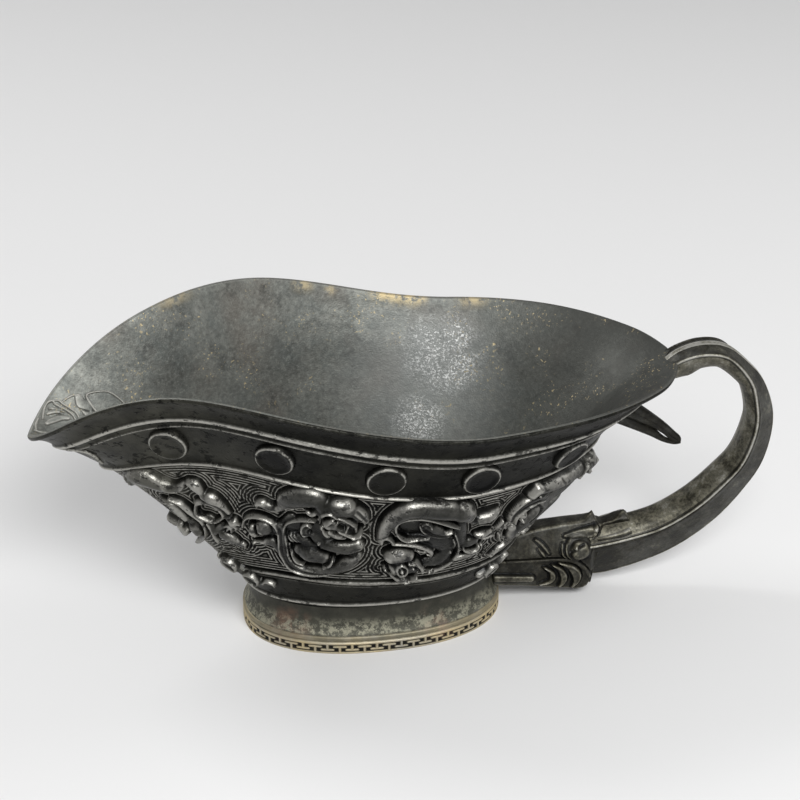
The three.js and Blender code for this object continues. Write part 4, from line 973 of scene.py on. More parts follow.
def inner_wall(angle, share):
    """Inside of the bowl: the outer wall moved in by its thickness, rounded into the floor."""
    s = sizes()
    thickness = s.lip + (s.wall - s.lip) * ease(share / FULL_WALL)
    points = wall(angle, share) - outward(angle, share) * thickness[..., None]
    floor = s.foot_height + s.floor
    points[..., 2] = smooth_larger(points[..., 2] / MM, floor / MM, FLOOR_ROUNDING) * MM
    return points


def shrunk(ring, shares, height, flat):
    """Rows from a ring in to the line along its middle: their height goes to flat."""
    x, y = ring[:, 0], ring[:, 1]
    middle_x = foot_x() + (x - foot_x()) * (1 - np.abs(y).max() / np.abs(x - foot_x()).max())
    centre = np.stack([middle_x, 0 * y, 0 * y + height], -1)
    rows = ring + (centre - ring) * np.asarray(shares)[:, None, None]
    rows[..., 2] = height + (ring[:, 2] - height) * (1 - np.asarray(shares)[:, None]) ** flat
    return rows


# Share of the wall's depth where its inside meets the floor
INNER_BOTTOM = 0.93
# Rubbing and painted light of the plain wall: what each millimetre of a raised line adds, as
# rubbed metal and a painted highlight, what a hollow takes, as patina and painted shade, and
# the lip's own, partly a painted edge highlight
PLAIN_WEAR = 0.38
RAISED_WEAR_AND_HIGHLIGHT = 0.85
HOLLOW_PATINA_AND_SHADE = 0.3
LIP_WEAR_AND_HIGHLIGHT = 0.5
# Depth, in millimetres, of the band inside the rim whose brass may be bare
RIM_BAND = 2.2


def half_round_lip(angle, depth):
    """Rows over the lip: half circles from the inner wall over the edge to the outer wall."""
    half = sizes().lip / 2
    share = (half / depth)[None, :]
    side = outward(angle, share)[0]
    edge = wall(angle, share)[0]
    up = unit(wall(angle, 0 * share)[0] - edge)
    turn = np.linspace(np.pi, 0, 11)[1:-1, None, None]
    return edge - side * half + half * (side * np.cos(turn) + up * np.sin(turn))


def build_bowl(material_out, material_in):
    """The bowl as one closed shell.

    Rows run from the middle of the floor up the inside, over the half round lip, down the
    outside with its raised lines, and under the bowl to its middle; columns run round it.
    """
    s = sizes()
    columns = 480
    angle = 2 * np.pi * np.arange(columns) / columns
    depth = wall_depth(angle)
    lip_share = s.lip / 2 / depth
    inner_share = np.linspace(0, 1, 50)[:, None] ** 0.9 * (INNER_BOTTOM - lip_share) + lip_share
    inside = inner_wall(angle, inner_share)[::-1]
    floor_rows = shrunk(inside[0], np.linspace(1, 0.08, 12), s.foot_height + s.floor, 2)
    lip = half_round_lip(angle, depth)
    drop = outer_rows(angle)
    form = wall_form(angle, drop)
    outside = wall(angle, drop / depth) + outward(angle, drop / depth) * (form * MM)[..., None]
    under = shrunk(outside[-1], np.linspace(0.08, 1, 8), s.foot_height + 0.6 * MM, 2)
    points = np.concatenate([floor_rows, inside, lip, outside, under])
    rows = len(points)
    first_out = len(floor_rows) + len(inside) + len(lip)
    wear_and_light = np.full((rows, columns), PLAIN_WEAR)
    # Raised lines lighter and hollows darker: rubbed metal and patina, and a painted highlight and painted
    # shade; the lip partly a painted edge highlight
    wear_and_light[first_out : first_out + len(form)] += (
        RAISED_WEAR_AND_HIGHLIGHT * np.maximum(form, 0) + HOLLOW_PATINA_AND_SHADE * np.minimum(form, 0)
    )
    wear_and_light[first_out - len(lip) : first_out] = LIP_WEAR_AND_HIGHLIGHT
    near_rim = np.zeros((rows, columns))
    drop_in = np.concatenate([inner_share[::-1] * depth / MM, 0 * lip[..., 0]])
    near_rim[len(floor_rows) : first_out] = np.exp(-((drop_in / RIM_BAND) ** 4))
    faces = grid_faces(rows, columns, wrap_columns=True)
    piece = make_mesh("bowl_shell", points, faces, {"wear_and_light": wear_and_light, "near_rim": near_rim})
    finish(piece, material_out, "body_bronze", ["bowl"])
    piece.data.materials.append(material_in)
    slots = np.zeros(len(faces), np.int32)
    slots[: (len(floor_rows) + len(inside) + len(lip) // 2) * columns] = 1
    piece.data.polygons.foreach_set("material_index", slots)
    weld(piece)


# The carved ground is left out this deep under a dragon, in millimetres
UNDER_DRAGON = -0.9


def build_belt(left, right, name, material):
    """A stretch of the carved belt: the wall with fine lines cut at equal distances from the
    nearest dragon or border, their depth a wave with flattened crests; left out where a
    dragon covers it."""
    s = sizes()
    columns = int(length_round(left, right, 50, 60) / CARVED_PITCH)
    angle = np.pi * np.linspace(left, right, columns) / 100
    _, _, top, bottom, _, depth = marks(angle)
    rows = int((bottom - top).max() / MM / CARVED_PITCH)
    start = top + BELT_EDGE * MM
    end = bottom - BELT_EDGE * MM
    drop = start + (end - start) * np.linspace(0, 1, rows)[:, None]
    share = drop / depth
    base = wall(angle, share)
    strokes = [stroke for dragon in BELT_DRAGONS for stroke in dragon]
    to_dragon = stroke_edges(base / MM, strokes, on_wall)
    to_border = np.minimum(drop - top, bottom - drop) / MM - FIRST_CUT
    distance = np.maximum(np.minimum(to_dragon, to_border), 0)
    groove = 0.5 + 0.5 * np.tanh(2.2 * np.cos(2 * np.pi * distance * MM / s.line_pitch))
    points = base - outward(angle, share) * (groove * s.line_depth)[..., None]
    # Ridges light and grooves dark: partly rubbed metal and patina, partly a painted highlight on the ridges
    # and painted shade in the grooves
    wear_and_light = 0.84 - 0.84 * groove
    surface = cut_away(points, grid_faces(rows, columns), wear_and_light, to_dragon, UNDER_DRAGON)
    add_both_sides(name, *surface, material, "body_bronze")


# Places of the studs, in percent from the spout to the tail
STUD_STATIONS = (25, 38.6, 50.5, 61.4, 75)
# Share of a stud's radius inside which its top is flat, and how far the top is dished
STUD_FLAT = 0.82
STUD_DISH = 0.22
# How deep a stud's edge and the foot of its side lie in the wall, in metres
STUD_EDGE = 0.0006
STUD_FOOT = 0.0018


def build_stud(number, station, material):
    """A stud: rings round its middle, dished inside and falling along a quarter ellipse."""
    s = sizes()
    angle = np.array([np.pi * station / 100])
    _, second, top, _, _, depth = marks(angle)
    share = np.array([[(second[0] - 0.2 * MM + top[0] - 0.9 * MM) / 2 / depth[0]]])
    centre = wall(angle, share)[0, 0]
    normal = outward(angle, share)[0, 0]
    across = unit(np.cross(normal, (0, 0, 1)))
    upward = np.cross(across, normal)
    fall = 1 - STUD_FLAT
    side = STUD_FLAT + fall * np.sin(np.linspace(0.15, np.pi / 2, 12))
    ratio = np.concatenate([np.linspace(0, STUD_FLAT, 10), side])
    rise = np.sqrt(1 - np.maximum((ratio - STUD_FLAT) / fall, 0) ** 2)
    rise -= STUD_DISH * ease((1 - ratio / STUD_FLAT) * 3.5)
    height = np.append(rise * (s.stud_rise + STUD_EDGE) - STUD_EDGE, -STUD_FOOT)
    # Bright round the rim of the top and dark on its flat middle: partly rubbed metal, partly a painted
    # highlight on the rim and a painted dark reflection on the middle
    wear_and_light = np.append(0.12 + 0.75 * bump(ratio - 0.88, 0.13), (0.3, 0.2))
    reach = (s.stud / 2) * np.append(ratio, 1.0)[:, None, None]
    turn = np.linspace(0, 2 * np.pi, 72, endpoint=False)
    points = centre + reach * (across * np.cos(turn)[:, None] + upward * np.sin(turn)[:, None])
    points = points + normal * height[:, None, None]
    points = np.concatenate([points, points[-1:] * 0 + points[-1:].mean(1, keepdims=True)])
    faces = grid_faces(len(points), len(turn), wrap_columns=True)
    fields = {"wear_and_light": np.repeat(wear_and_light, len(turn))}
    name = f"stud_{number}"
    for piece in add_both_sides(name, points, faces, fields, material, "relief_bronze", [name]):
        weld(piece)


# The foot


# The fret: repeats round the foot, then in millimetres the width of a repeat, the distance from
# a bar's line at which the metal is down to the ground, its slope and how far it stands out
FRET_PERIODS = 28
FRET_WIDTH = 5.55
BAR_EDGE = 0.33
BAR_SLOPE = 0.14
BAR_RISE = 0.25
# Bars of one repeat, each a line between two places: shares of its width and of its height
FRET_BARS = (
    (-1, 0.06, 2, 0.06),
    (-1, 0.94, 2, 0.94),
    (0.25, 0.06, 0.25, 0.66),
    (0.02, 0.66, 0.48, 0.66),
    (0.75, 0.94, 0.75, 0.36),
    (0.52, 0.36, 0.98, 0.36),
)


def fret_height(turns, up):
    """Height of the fret on the border: thin raised bars forming uprights with crossbars.

    turns counts repeats round the foot and up goes from 0 at the floor to 1 at the border's
    top; the height is 1 on each bar and falls off away from it.
    """
    tall = sizes().fret_height / MM
    place = turns % 1
    nearest = np.full(turns.shape, FRET_WIDTH)
    for x0, y0, x1, y1 in FRET_BARS:
        low, high = sorted((y0, y1))
        dy = np.maximum(np.maximum(low - up, up - high), 0) * tall
        for shift in (-1, 0, 1):
            dx = np.maximum(np.maximum(x0 + shift - place, place - x1 - shift), 0) * FRET_WIDTH
            nearest = np.minimum(nearest, np.hypot(dx, dy))
    return np.clip((BAR_EDGE - nearest) / BAR_SLOPE, 0, 1)


# Height of the foot's top inside the bowl, in millimetres, and how the hollow and the roll
# share out the flare
FOOT_TOP = 12.15
HOLLOW_FLARE = 0.8
ROLL_FLARE = 0.72
FRET_ROWS = 20


def build_foot(material):
    """The foot ring: a closed profile carried round an oval at even steps of length.

    The outside is a hollow that flares to a soft roll over a step and an upright border
    with its raised fret; the inside is plain.
    """
    s = sizes()
    columns = 1040
    fine = np.linspace(0, 2 * np.pi, 4001)
    edge = oval(fine, s.neck_length / 2 + s.foot_flare, s.neck_width / 2 + s.foot_flare, 0)
    length = np.concatenate([[0], np.cumsum(gaps(edge))])
    turns = np.arange(columns) / columns
    angle = np.interp(turns * length[-1], length, fine)
    flare = s.foot_flare / MM
    border = s.fret_height / MM
    t = np.linspace(0, 1, 22)
    hollow = np.stack([flare * HOLLOW_FLARE * t**2.4, FOOT_TOP - (FOOT_TOP - border - 1.9) * t], 1)
    turn = np.linspace(-0.5, 0.5, 11) * np.pi
    roll = np.stack([flare * ROLL_FLARE + 0.62 * np.cos(turn), border + 1.12 - 0.72 * np.sin(turn)], 1)
    fret = np.stack([np.full(FRET_ROWS, flare - BAR_RISE), np.linspace(border, 0.06, FRET_ROWS)], 1)
    inside = np.array([
        (flare - 0.45, 0), (flare - 2.1, 0), (flare - 2.2, 0.1), (flare - 2.2, border),
        (-0.6, border + 1.5), (-1.8, border + 3.6), (-2.2, 8.0), (-2.2, FOOT_TOP),
    ])
    rows = np.concatenate([hollow, roll, [(flare - 0.35, border + 0.25)], fret, inside])
    out = np.repeat(rows[:, :1], columns, 1)
    up = np.repeat(rows[:, 1:], columns, 1)
    on_hollow = slice(0, len(hollow))
    on_roll = slice(len(hollow), len(hollow) + len(roll) + 1)
    on_fret = slice(on_roll.stop, on_roll.stop + FRET_ROWS)
    pattern = fret_height(turns[None, :] * FRET_PERIODS, up[on_fret] / border)
    out[on_fret] += BAR_RISE * pattern
    centre_line = oval(angle, s.neck_length / 2, s.neck_width / 2, 0)
    far_line = oval(angle, s.neck_length / 2 + MM, s.neck_width / 2 + MM, 0)
    points = centre_line + (far_line - centre_line) * out[..., None]
    points[..., 2] = up * MM
    wear_and_light = np.full(out.shape, 0.35)
    # Lighter towards the bottom of the hollow: pale patina, and painted light where the hollow turns up
    wear_and_light[on_hollow] += 0.35 * t[:, None] ** 3
    # The roll bright: rubbed metal and a painted edge highlight
    wear_and_light[on_roll] = 0.7
    wear_and_light[on_fret] = 0.12 + 0.85 * pattern
    gold = np.zeros(out.shape)
    gold[on_fret] = pattern
    gold[on_roll] = 0.35
    patina = np.zeros(out.shape)
    patina[on_hollow] = ease((t[:, None] - 0.35) / 0.5) * 0.9
    faces = grid_faces(*out.shape, wrap_rows=True, wrap_columns=True)
    piece = make_mesh("foot", points, faces, {"wear_and_light": wear_and_light, "gold": gold, "patina": patina})
    finish(piece, material, "foot_bronze", ["foot_ring"])


# The handle


# Ridge line of the strap from the tail of the rim to the head: along the cup from the end
# of the foot as a share of the way to the bend, up as a share of the tail's height, then the
# depth of the strap outside and inside the line in millimetres
HANDLE_LINE = (
    (0.56, 0.985, 0.2, 4.6),
    (0.631, 1.03, 1.0, 6.2),
    (0.712, 1.05, 1.2, 5.2),
    (0.797, 1.03, 1.3, 4.4),
    (0.871, 0.942, 2.2, 3.2),
    (0.903, 0.857, 3.8, 2.2),
    (0.9173, 0.721, 5.5, 1.8),
    (0.882, 0.573, 6.9, 2.1),
    (0.815, 0.473, 8, 2.7),
    (0.718, 0.372, 9.1, 3),
    (0.597, 0.292, 10, 3.3),
    (0.473, 0.254, 10.9, 3.5),
    (0.36, 0.234, 11.2, 3.8),
    (0.3, 0.228, 10, 4.0),
)
# Half section of the strap from its outer edge to its inner edge: share of the outer or
# inner depth, distance from the ridge line, share of the half width, and distance from it
STRAP_SECTION = (
    (1.0, 0.0, 0.0, 0.0),
    (1.0, 0.0, 0.10, 0.0),
    (0.975, 0.0, 0.20, 0.05),
    (0.93, 0.0, 0.235, 0.0),
    (0.75, 0.0, 0.42, -0.12),
    (0.5, 0.0, 0.62, -0.1),
    (0.25, 0.0, 0.80, -0.02),
    (0.08, 0.42, 0.90, 0.0),
    (0.0, 0.62, 0.93, -0.12),
    (0.0, 0.34, 0.97, 0.1),
    (0.0, 0.0, 1.0, 0.16),
    (0.0, -0.34, 0.97, 0.1),
    (0.0, -0.62, 0.93, -0.12),
    (-0.25, 0.0, 0.86, 0.0),
    (-0.5, 0.0, 0.72, 0.1),
    (-0.75, 0.0, 0.52, 0.12),
    (-0.93, 0.0, 0.34, 0.05),
    (-1.0, 0.0, 0.22, 0.0),
    (-1.0, 0.0, 0.0, 0.0),
)


def foot_end_x():
    """The foot's end nearest the handle."""
    s = sizes()
    return foot_x() + s.neck_length / 2 + s.foot_flare


def handle_x():
    """The handle's bend, the cup's end."""
    return (sizes().bowl_length + sizes().handle_reach) / 2


def strap_frame(t):
    """Points of the ridge line, directions out of it, and the strap's two depths there."""
    s = sizes()
    rows = along(HANDLE_LINE, t)
    x = foot_end_x() + (handle_x() - foot_end_x()) * rows[:, 0]
    z = s.tail_height * rows[:, 1]
    middle = np.stack([x, 0 * x, z], -1)
    ahead = unit(np.gradient(middle, axis=0))
    out = np.stack([-ahead[:, 2], 0 * x, ahead[:, 0]], -1)
    return middle, out, rows[:, 2], rows[:, 3]


def build_strap(material):
    """The strap: its section, mirrored across the cup's middle, carried along its ridge line."""
    s = sizes()
    t = np.linspace(0, 1, 320)
    middle, out, outer, inner = strap_frame(t)
    share, lift, sideways, spare = along(STRAP_SECTION, np.linspace(0, 1, 91)).T
    deep = (np.maximum(share, 0) * outer[:, None] + np.minimum(share, 0) * inner[:, None] + lift) * MM
    half = (s.handle_top_width + (s.handle_width - s.handle_top_width) * ease(t * 3)) / 2
    side = half[:, None] * sideways + spare * MM
    side[:, 0] = side[:, -1] = 0
    near = middle[:, None] + out[:, None] * deep[..., None] + np.array([0, -1, 0]) * side[..., None]
    far = near[:, -2:0:-1] * OTHER_SIDE
    ring = np.concatenate([near, far], 1)
    ends = ring.mean(1, keepdims=True)
    points = np.concatenate([ring[:1] * 0 + ends[0], ring, ring[:1] * 0 + ends[-1]])
    # Painted highlights along the bead and along the outer edge, partly rubbed metal; the inner face
    # lighter, partly its own tone and partly painted light where it turns up
    bead_highlight = bump(lift, 0.5) * (np.abs(share) < 0.02)
    ridge = bump(share - 0.985, 0.05)
    inner_face_tone_and_light = (share < -0.05) * 0.2
    wear_and_light = np.clip(0.4 + 0.5 * bead_highlight + 0.5 * ridge + inner_face_tone_and_light, 0, 1)
    wear_and_light = np.repeat(np.concatenate([wear_and_light, wear_and_light[-2:0:-1]])[None, :], len(points), 0)
    faces = grid_faces(*points.shape[:2], wrap_columns=True)[:, ::-1]
    add_to_handle("handle_strap", points, faces, wear_and_light, material)


def on_head(places):
    """Points in the plane of the cup's middle, in millimetres, from the foot's end."""
    return np.stack([foot_end_x() / MM + places[:, 0], 0 * places[:, 0], places[:, 1]], 1)


def build_plate(name, outline, ends, half_width, rounding, strokes, material):
    """A plate standing along the cup's middle, with relief on its two sides.

    Columns run along the cup and each is a ring: up the near side, over the top, down the far
    side. half_width gives the side's distance from the middle at a place along and a height;
    near the outline it falls away along a quarter circle.
    """
    start, end = ends
    columns = int((end - start) / RELIEF_PITCH)
    x = start + (end - start) * (1 - (1 - np.linspace(0, 1, columns)) ** 1.3)
    high, low = (np.interp(x, *np.array(line, float).T) for line in outline)
    low = np.minimum(low, high)
    q = np.linspace(0, 1, int((high - low).max() / RELIEF_PITCH))[:, None]
    z = low + (high - low) * q
    to_edge = np.minimum(np.minimum(q, 1 - q) * (high - low), (end - x) * 1.2)
    flat = half_width(x, z)
    curve = np.minimum(rounding, flat)
    fall = 1 - np.clip(to_edge / np.maximum(curve, 0.01), 0, 1)
    side = flat - curve * (1 - np.sqrt(1 - fall**2))
    along_cup = np.broadcast_to(foot_end_x() / MM + x, z.shape)
    height = relief(np.stack([along_cup, 0 * z, z], -1), strokes, on_head)
    height = blurred(np.where(height < -1, 0, height), 1, 1) * np.clip(to_edge / 0.4, 0, 1)
    near = np.stack([along_cup, -(side + height), z], -1) * MM
    ring = np.concatenate([near, near[::-1] * OTHER_SIDE])
    cap = ring[:, :1].mean(0, keepdims=True)
    ring = np.concatenate([ring[:, :1] * 0 + cap, ring], 1)
    # Lighter along the rounded outline: rubbed metal and a painted edge highlight
    wear_and_light = wear_and_light_from_height(height, 0.65) + 0.2 * bump(to_edge - 0.3, 0.4)
    wear_and_light = np.concatenate([wear_and_light, wear_and_light[::-1]])
    wear_and_light = np.clip(np.concatenate([wear_and_light[:, :1], wear_and_light], 1), 0, 1)
    faces = grid_faces(*ring.shape[:2], wrap_rows=True)[:, ::-1]
    add_to_handle(name, ring, faces, wear_and_light, material)


def head_half(x, z):
    """Half width of the head: its section at a height. Behind the eye it sinks under the
    strap's surface, and only its crests above the strap stay."""
    behind = ease((x - np.interp(z, *SINK_START)) / SINK_LENGTH)
    below = ease((SINK_TOP - z) / SINK_FADE)
    return np.interp(z, *HEAD_SECTION) - SINK * behind * below


def jaw_half(x, z):
    """Half width of the jaw's sunk sides, the same all over."""
    return np.full(z.shape, sizes().jaw_width / MM / 2 - JAW_RECESS)


# Half width of the head at heights in millimetres: upright to the ridge line, then slanting in
HEAD_SECTION = ((0, 13.5, 20, 21.6), (5.5, 5.5, 2.2, 0.4))
# The head sinks under the strap by SINK from a place that two heights give, over a length, and
# below SINK_TOP, fading in over a height
SINK = 1.3
SINK_START = ((15.5, 17), (21.9, 24.4))
SINK_LENGTH = 2.2
SINK_TOP = 20.6
SINK_FADE = 2.4
# The head's two ends, and its outline over and under: places along from the foot and heights
HEAD_ENDS = (1, 35)
HEAD_TOP = (
    (1, 17.4), (4, 18.7), (8, 19.5), (11.5, 19.9), (14, 20.1), (17, 20.4), (20, 20.6), (21.7, 20.9),
    (22.6, 21.5), (23.5, 22.3), (24.1, 21), (24.8, 19.5), (26, 19.2), (28.3, 19.8), (30, 20.9),
    (31, 21.6), (31.6, 21.7), (32.2, 21), (33, 19.6), (35, 18.2),
)
HEAD_BOTTOM = (
    (1, 12.2), (8.3, 11.8), (14.2, 11.5), (17.8, 10.5), (20.2, 8.6), (21.9, 6), (22.3, 4), (22.8, 3.8),
    (23.6, 7.2), (24.4, 11.4), (25.5, 13.3), (28, 14.2), (35, 16.2),
)
# Places of the strokes on the head and jaw are in millimetres, along from the foot and up
HEAD_RELIEF = (
    ("cord", [(1, 12.7), (8.3, 12.3), (14.2, 12), (17.9, 11.2), (20.6, 9.2), (22.4, 6.2)],
     (0.4, 0.45, 0.5, 0.5, 0.5, 0.4), 0.4),
    ("cut", [(4.4, 13.9), (6.4, 14.6), (8.4, 14.3)], 1.1, 0.5),
    ("cord", [(8.6, 17.3), (9.6, 16.6), (10.8, 15.4), (11.8, 13.9)], (0.2, 0.4, 0.35, 0.15), 0.3),
    ("cord", [(9.3, 15.2), (10.3, 14), (10.9, 13.2)], (0.2, 0.35, 0.15), 0.25),
    ("cut", [(10.2, 17.2), (11.8, 15.8), (12.8, 14)], 0.4, 0.35),
    ("slab", [(16, 17.6), (18.6, 17.9), (21.6, 18.2), (23.2, 18.8)], (0.3, 0.7, 1, 0.7),
     (0.1, 0.3, 0.6, 0.9)),
    ("body", [(24, 18.8)], 0.75, 1.4),
    ("slab", [(24, 18.1), (23.2, 17.4), (21.8, 17.1)], (0.6, 0.5, 0.25), 0.7),
    ("body", [(19.4, 14.6)], 3.3, 0.6),
    ("slab", [(19.5, 14.4)], 2.35, 1.5),
    ("cut", [(17.4, 14.2), (18.6, 15.2), (20.6, 15.9)], 0.35, 0.8),
    ("body", [(18.5, 15.4)], 0.7, 1.9),
    ("cord", [(16.3, 15.8), (16.1, 14.6), (16.4, 13.4), (17.4, 12.2)], (0.15, 0.28, 0.32, 0.15), 0.9),
    ("cord", [(15.3, 15.9), (15.1, 14.6), (15.3, 13.5), (16.3, 12.4)], (0.15, 0.26, 0.3, 0.15), 0.6),
)
# How far the jaw's sides lie in from its crescents, and its ends and outline
JAW_RECESS = 1.1
JAW_ENDS = (-2, 22.6)
JAW_TOP = (
    (-2, 12.8), (8.3, 12.5), (14.2, 12.1), (17.8, 11.2), (19.6, 10.2), (20.9, 8.8), (21.8, 7.2),
    (22.4, 5.8), (22.6, 5),
)
JAW_BOTTOM = (
    (-2, 5.8), (4, 5.1), (8.5, 4.4), (15.7, 3.2), (19, 2.6), (20.8, 2.7), (21.8, 3.3), (22.6, 5),
)
JAW_RELIEF = (
    ("slab", [(14.4, 11.1), (17.1, 9.8), (18.8, 7.6), (19, 5.4), (17.9, 3.5)],
     (0.2, 0.8, 1.15, 0.85, 0.2), 0.9),
    ("line", [(15.6, 10.9), (18.3, 9.5), (19.9, 7.1), (19.9, 4.8), (18.4, 3.4)], 0.3, 0.35),
    ("slab", [(12.7, 10.7), (14.6, 9.3), (15.7, 7), (15.5, 5.2), (14.4, 4)], (0.2, 0.6, 0.85, 0.65, 0.2),
     0.9),
    ("line", [(13.2, 10.6), (15.4, 9), (16.5, 6.8), (16.2, 4.8), (14.7, 3.9)], 0.26, 0.35),
    ("slab", [(10.6, 10.1), (12.3, 8.8), (12.9, 7.1), (12.1, 5.8), (9.6, 5.1)],
     (0.2, 0.5, 0.75, 0.5, 0.2), 0.85),
    ("line", [(11, 10.1), (12.9, 8.6), (13.5, 6.9), (12.5, 5.5), (9.6, 4.9)], 0.26, 0.35),
    ("slab", [(-2.4, 8.3), (2.5, 7.8), (7.4, 7.2)], 0.9, 0.95),
)


# Strands of the tail curl: where each leaves the wall as a share of the wall's depth, then
# its places from the tail of the rim along the cup and up, and its radii from inside the wall
# to its tip, in millimetres
CURL_STRANDS = (
    (0.245, [(-8.6, 50), (-3.2, 45.9), (0.3, 42.6), (1.8, 41.2), (2.3, 39.9)],
     (1.5, 1.35, 0.95, 0.75, 0.55, 0.1)),
    (0.28, [(-7.2, 47.4), (-2.6, 44.1), (0.1, 41.4), (1.5, 40.5), (2.3, 39.8)],
     (1.5, 1.3, 0.8, 0.65, 0.45, 0.1)),
    (0.32, [(-6.8, 44.6), (-2.4, 41.5), (-0.2, 40.4), (1.2, 39.9), (2.4, 39.7)],
     (1.5, 1.2, 0.75, 0.6, 0.4, 0.1)),
)


def tube(middle, radius):
    """A round section swept along a curve, each ring square to the way ahead, its two ends
    closed on the curve. Gives the grid of points and the turn of each column."""
    ahead = unit(np.gradient(middle, axis=0))
    side = unit(np.cross(ahead, (0, 1, 0)))
    across = np.cross(side, ahead)
    turn = np.linspace(0, 2 * np.pi, 36, endpoint=False)
    spoke = side[:, None] * np.cos(turn)[:, None] + across[:, None] * np.sin(turn)[:, None]
    ring = middle[:, None] + radius[:, None, None] * spoke
    return np.concatenate([ring[:1] * 0 + middle[0], ring, ring[:1] * 0 + middle[-1]]), turn


# Rod lying on the strap behind each eye: distance along from the foot, from the middle and
# height, and its radii, in millimetres
ROD_LINE = (
    (24.4, 3.9, 16.1), (26.4, 4.3, 16.6), (28.4, 4.4, 17), (30.4, 4.4, 17.4), (31.8, 4.3, 17.8),
    (32.7, 4.2, 18.1),
)
ROD_RADII = (0.5, 0.6, 0.68, 0.78, 0.88, 0.85)


def build_rod(name, way, material):
    """The small rod behind the eye on the side way points to, round at its outer end."""
    t = np.linspace(0, 1, 72)
    middle = along(np.array(ROD_LINE), t) * (1, way, 1) * MM + (foot_end_x(), 0, 0)
    round_end = np.sqrt(np.clip(1 - ((t - 0.9) / 0.1).clip(0, 1) ** 2, 0, 1))
    ring, turn = tube(middle, along(ROD_RADII, t) * round_end * MM)
    # A painted highlight along the rod's upper side
    wear_and_light = np.broadcast_to(0.32 + 0.5 * (0.5 + 0.5 * np.cos(turn)) ** 2, ring.shape[:2])
    add_to_handle(name, ring, grid_faces(*ring.shape[:2], wrap_columns=True), wear_and_light, material)


def build_curl(material):
    """The tail curl under the rim: three strands, each a round section that narrows along its
    curve from the bowl's end down and out to their common tip."""
    tail = (spout_x() + sizes().bowl_length) / MM
    for number, (root, places, radii) in enumerate(CURL_STRANDS, 1):
        start = wall(np.array([np.pi]), np.array([[root]]))[0, 0] / MM
        free = np.array([(tail + x, 0, z) for x, z in places])
        inward = start - (free[0] - start) * 0.12
        t = np.linspace(0, 1, 64)
        middle = along(np.concatenate([[inward], free]), t) * MM
        ring, turn = tube(middle, along(radii, t) * MM)
        faces = grid_faces(*ring.shape[:2], wrap_columns=True)
        # A painted highlight along one side of each strand, stronger towards the tip
        highlight_crest = (0.5 - 0.5 * np.cos(turn)) ** 3
        wear_and_light = 0.3 + 0.45 * np.linspace(0, 1, len(ring))[:, None] * highlight_crest
        add_to_handle(f"tail_curl_{number}", ring, faces, wear_and_light, material, "tail_curl")


# Materials

# Finishes: how metallic, size and strength of the bump, shine, and share of clear coat
OUTER_FINISH = (0.8, 0.00022, 0.35, 0.18, 0)
RELIEF_FINISH = (0.75, 0.0003, 0.45, 0.35, 0.22)
INSIDE_FINISH = (0.55, 0.0003, 0.45, 0.35, 0)
HANDLE_FINISH = (0.6, 0.00028, 0.4, 0.25, 0.1)
FOOT_FINISH = (0.6, 0.00028, 0.4, 0.35, 0)
COAT_ROUGHNESS = 0.24
# Linear colours of single stains
SPOUT_BROWN = (0.2, 0.195, 0.16)
DULL_BROWN = (0.16, 0.155, 0.12)
RUST = (0.17, 0.125, 0.095)
REFLECTION_GLOW_GREY = (0.52, 0.54, 0.53)
REFLECTION_PATCH_GREY = (0.5, 0.51, 0.5)
REFLECTION_GRIT_WHITE = (0.9, 0.91, 0.89)
HANDLE_GREY = (0.11, 0.115, 0.115)
CRUMB_GREEN = (0.34, 0.33, 0.25)


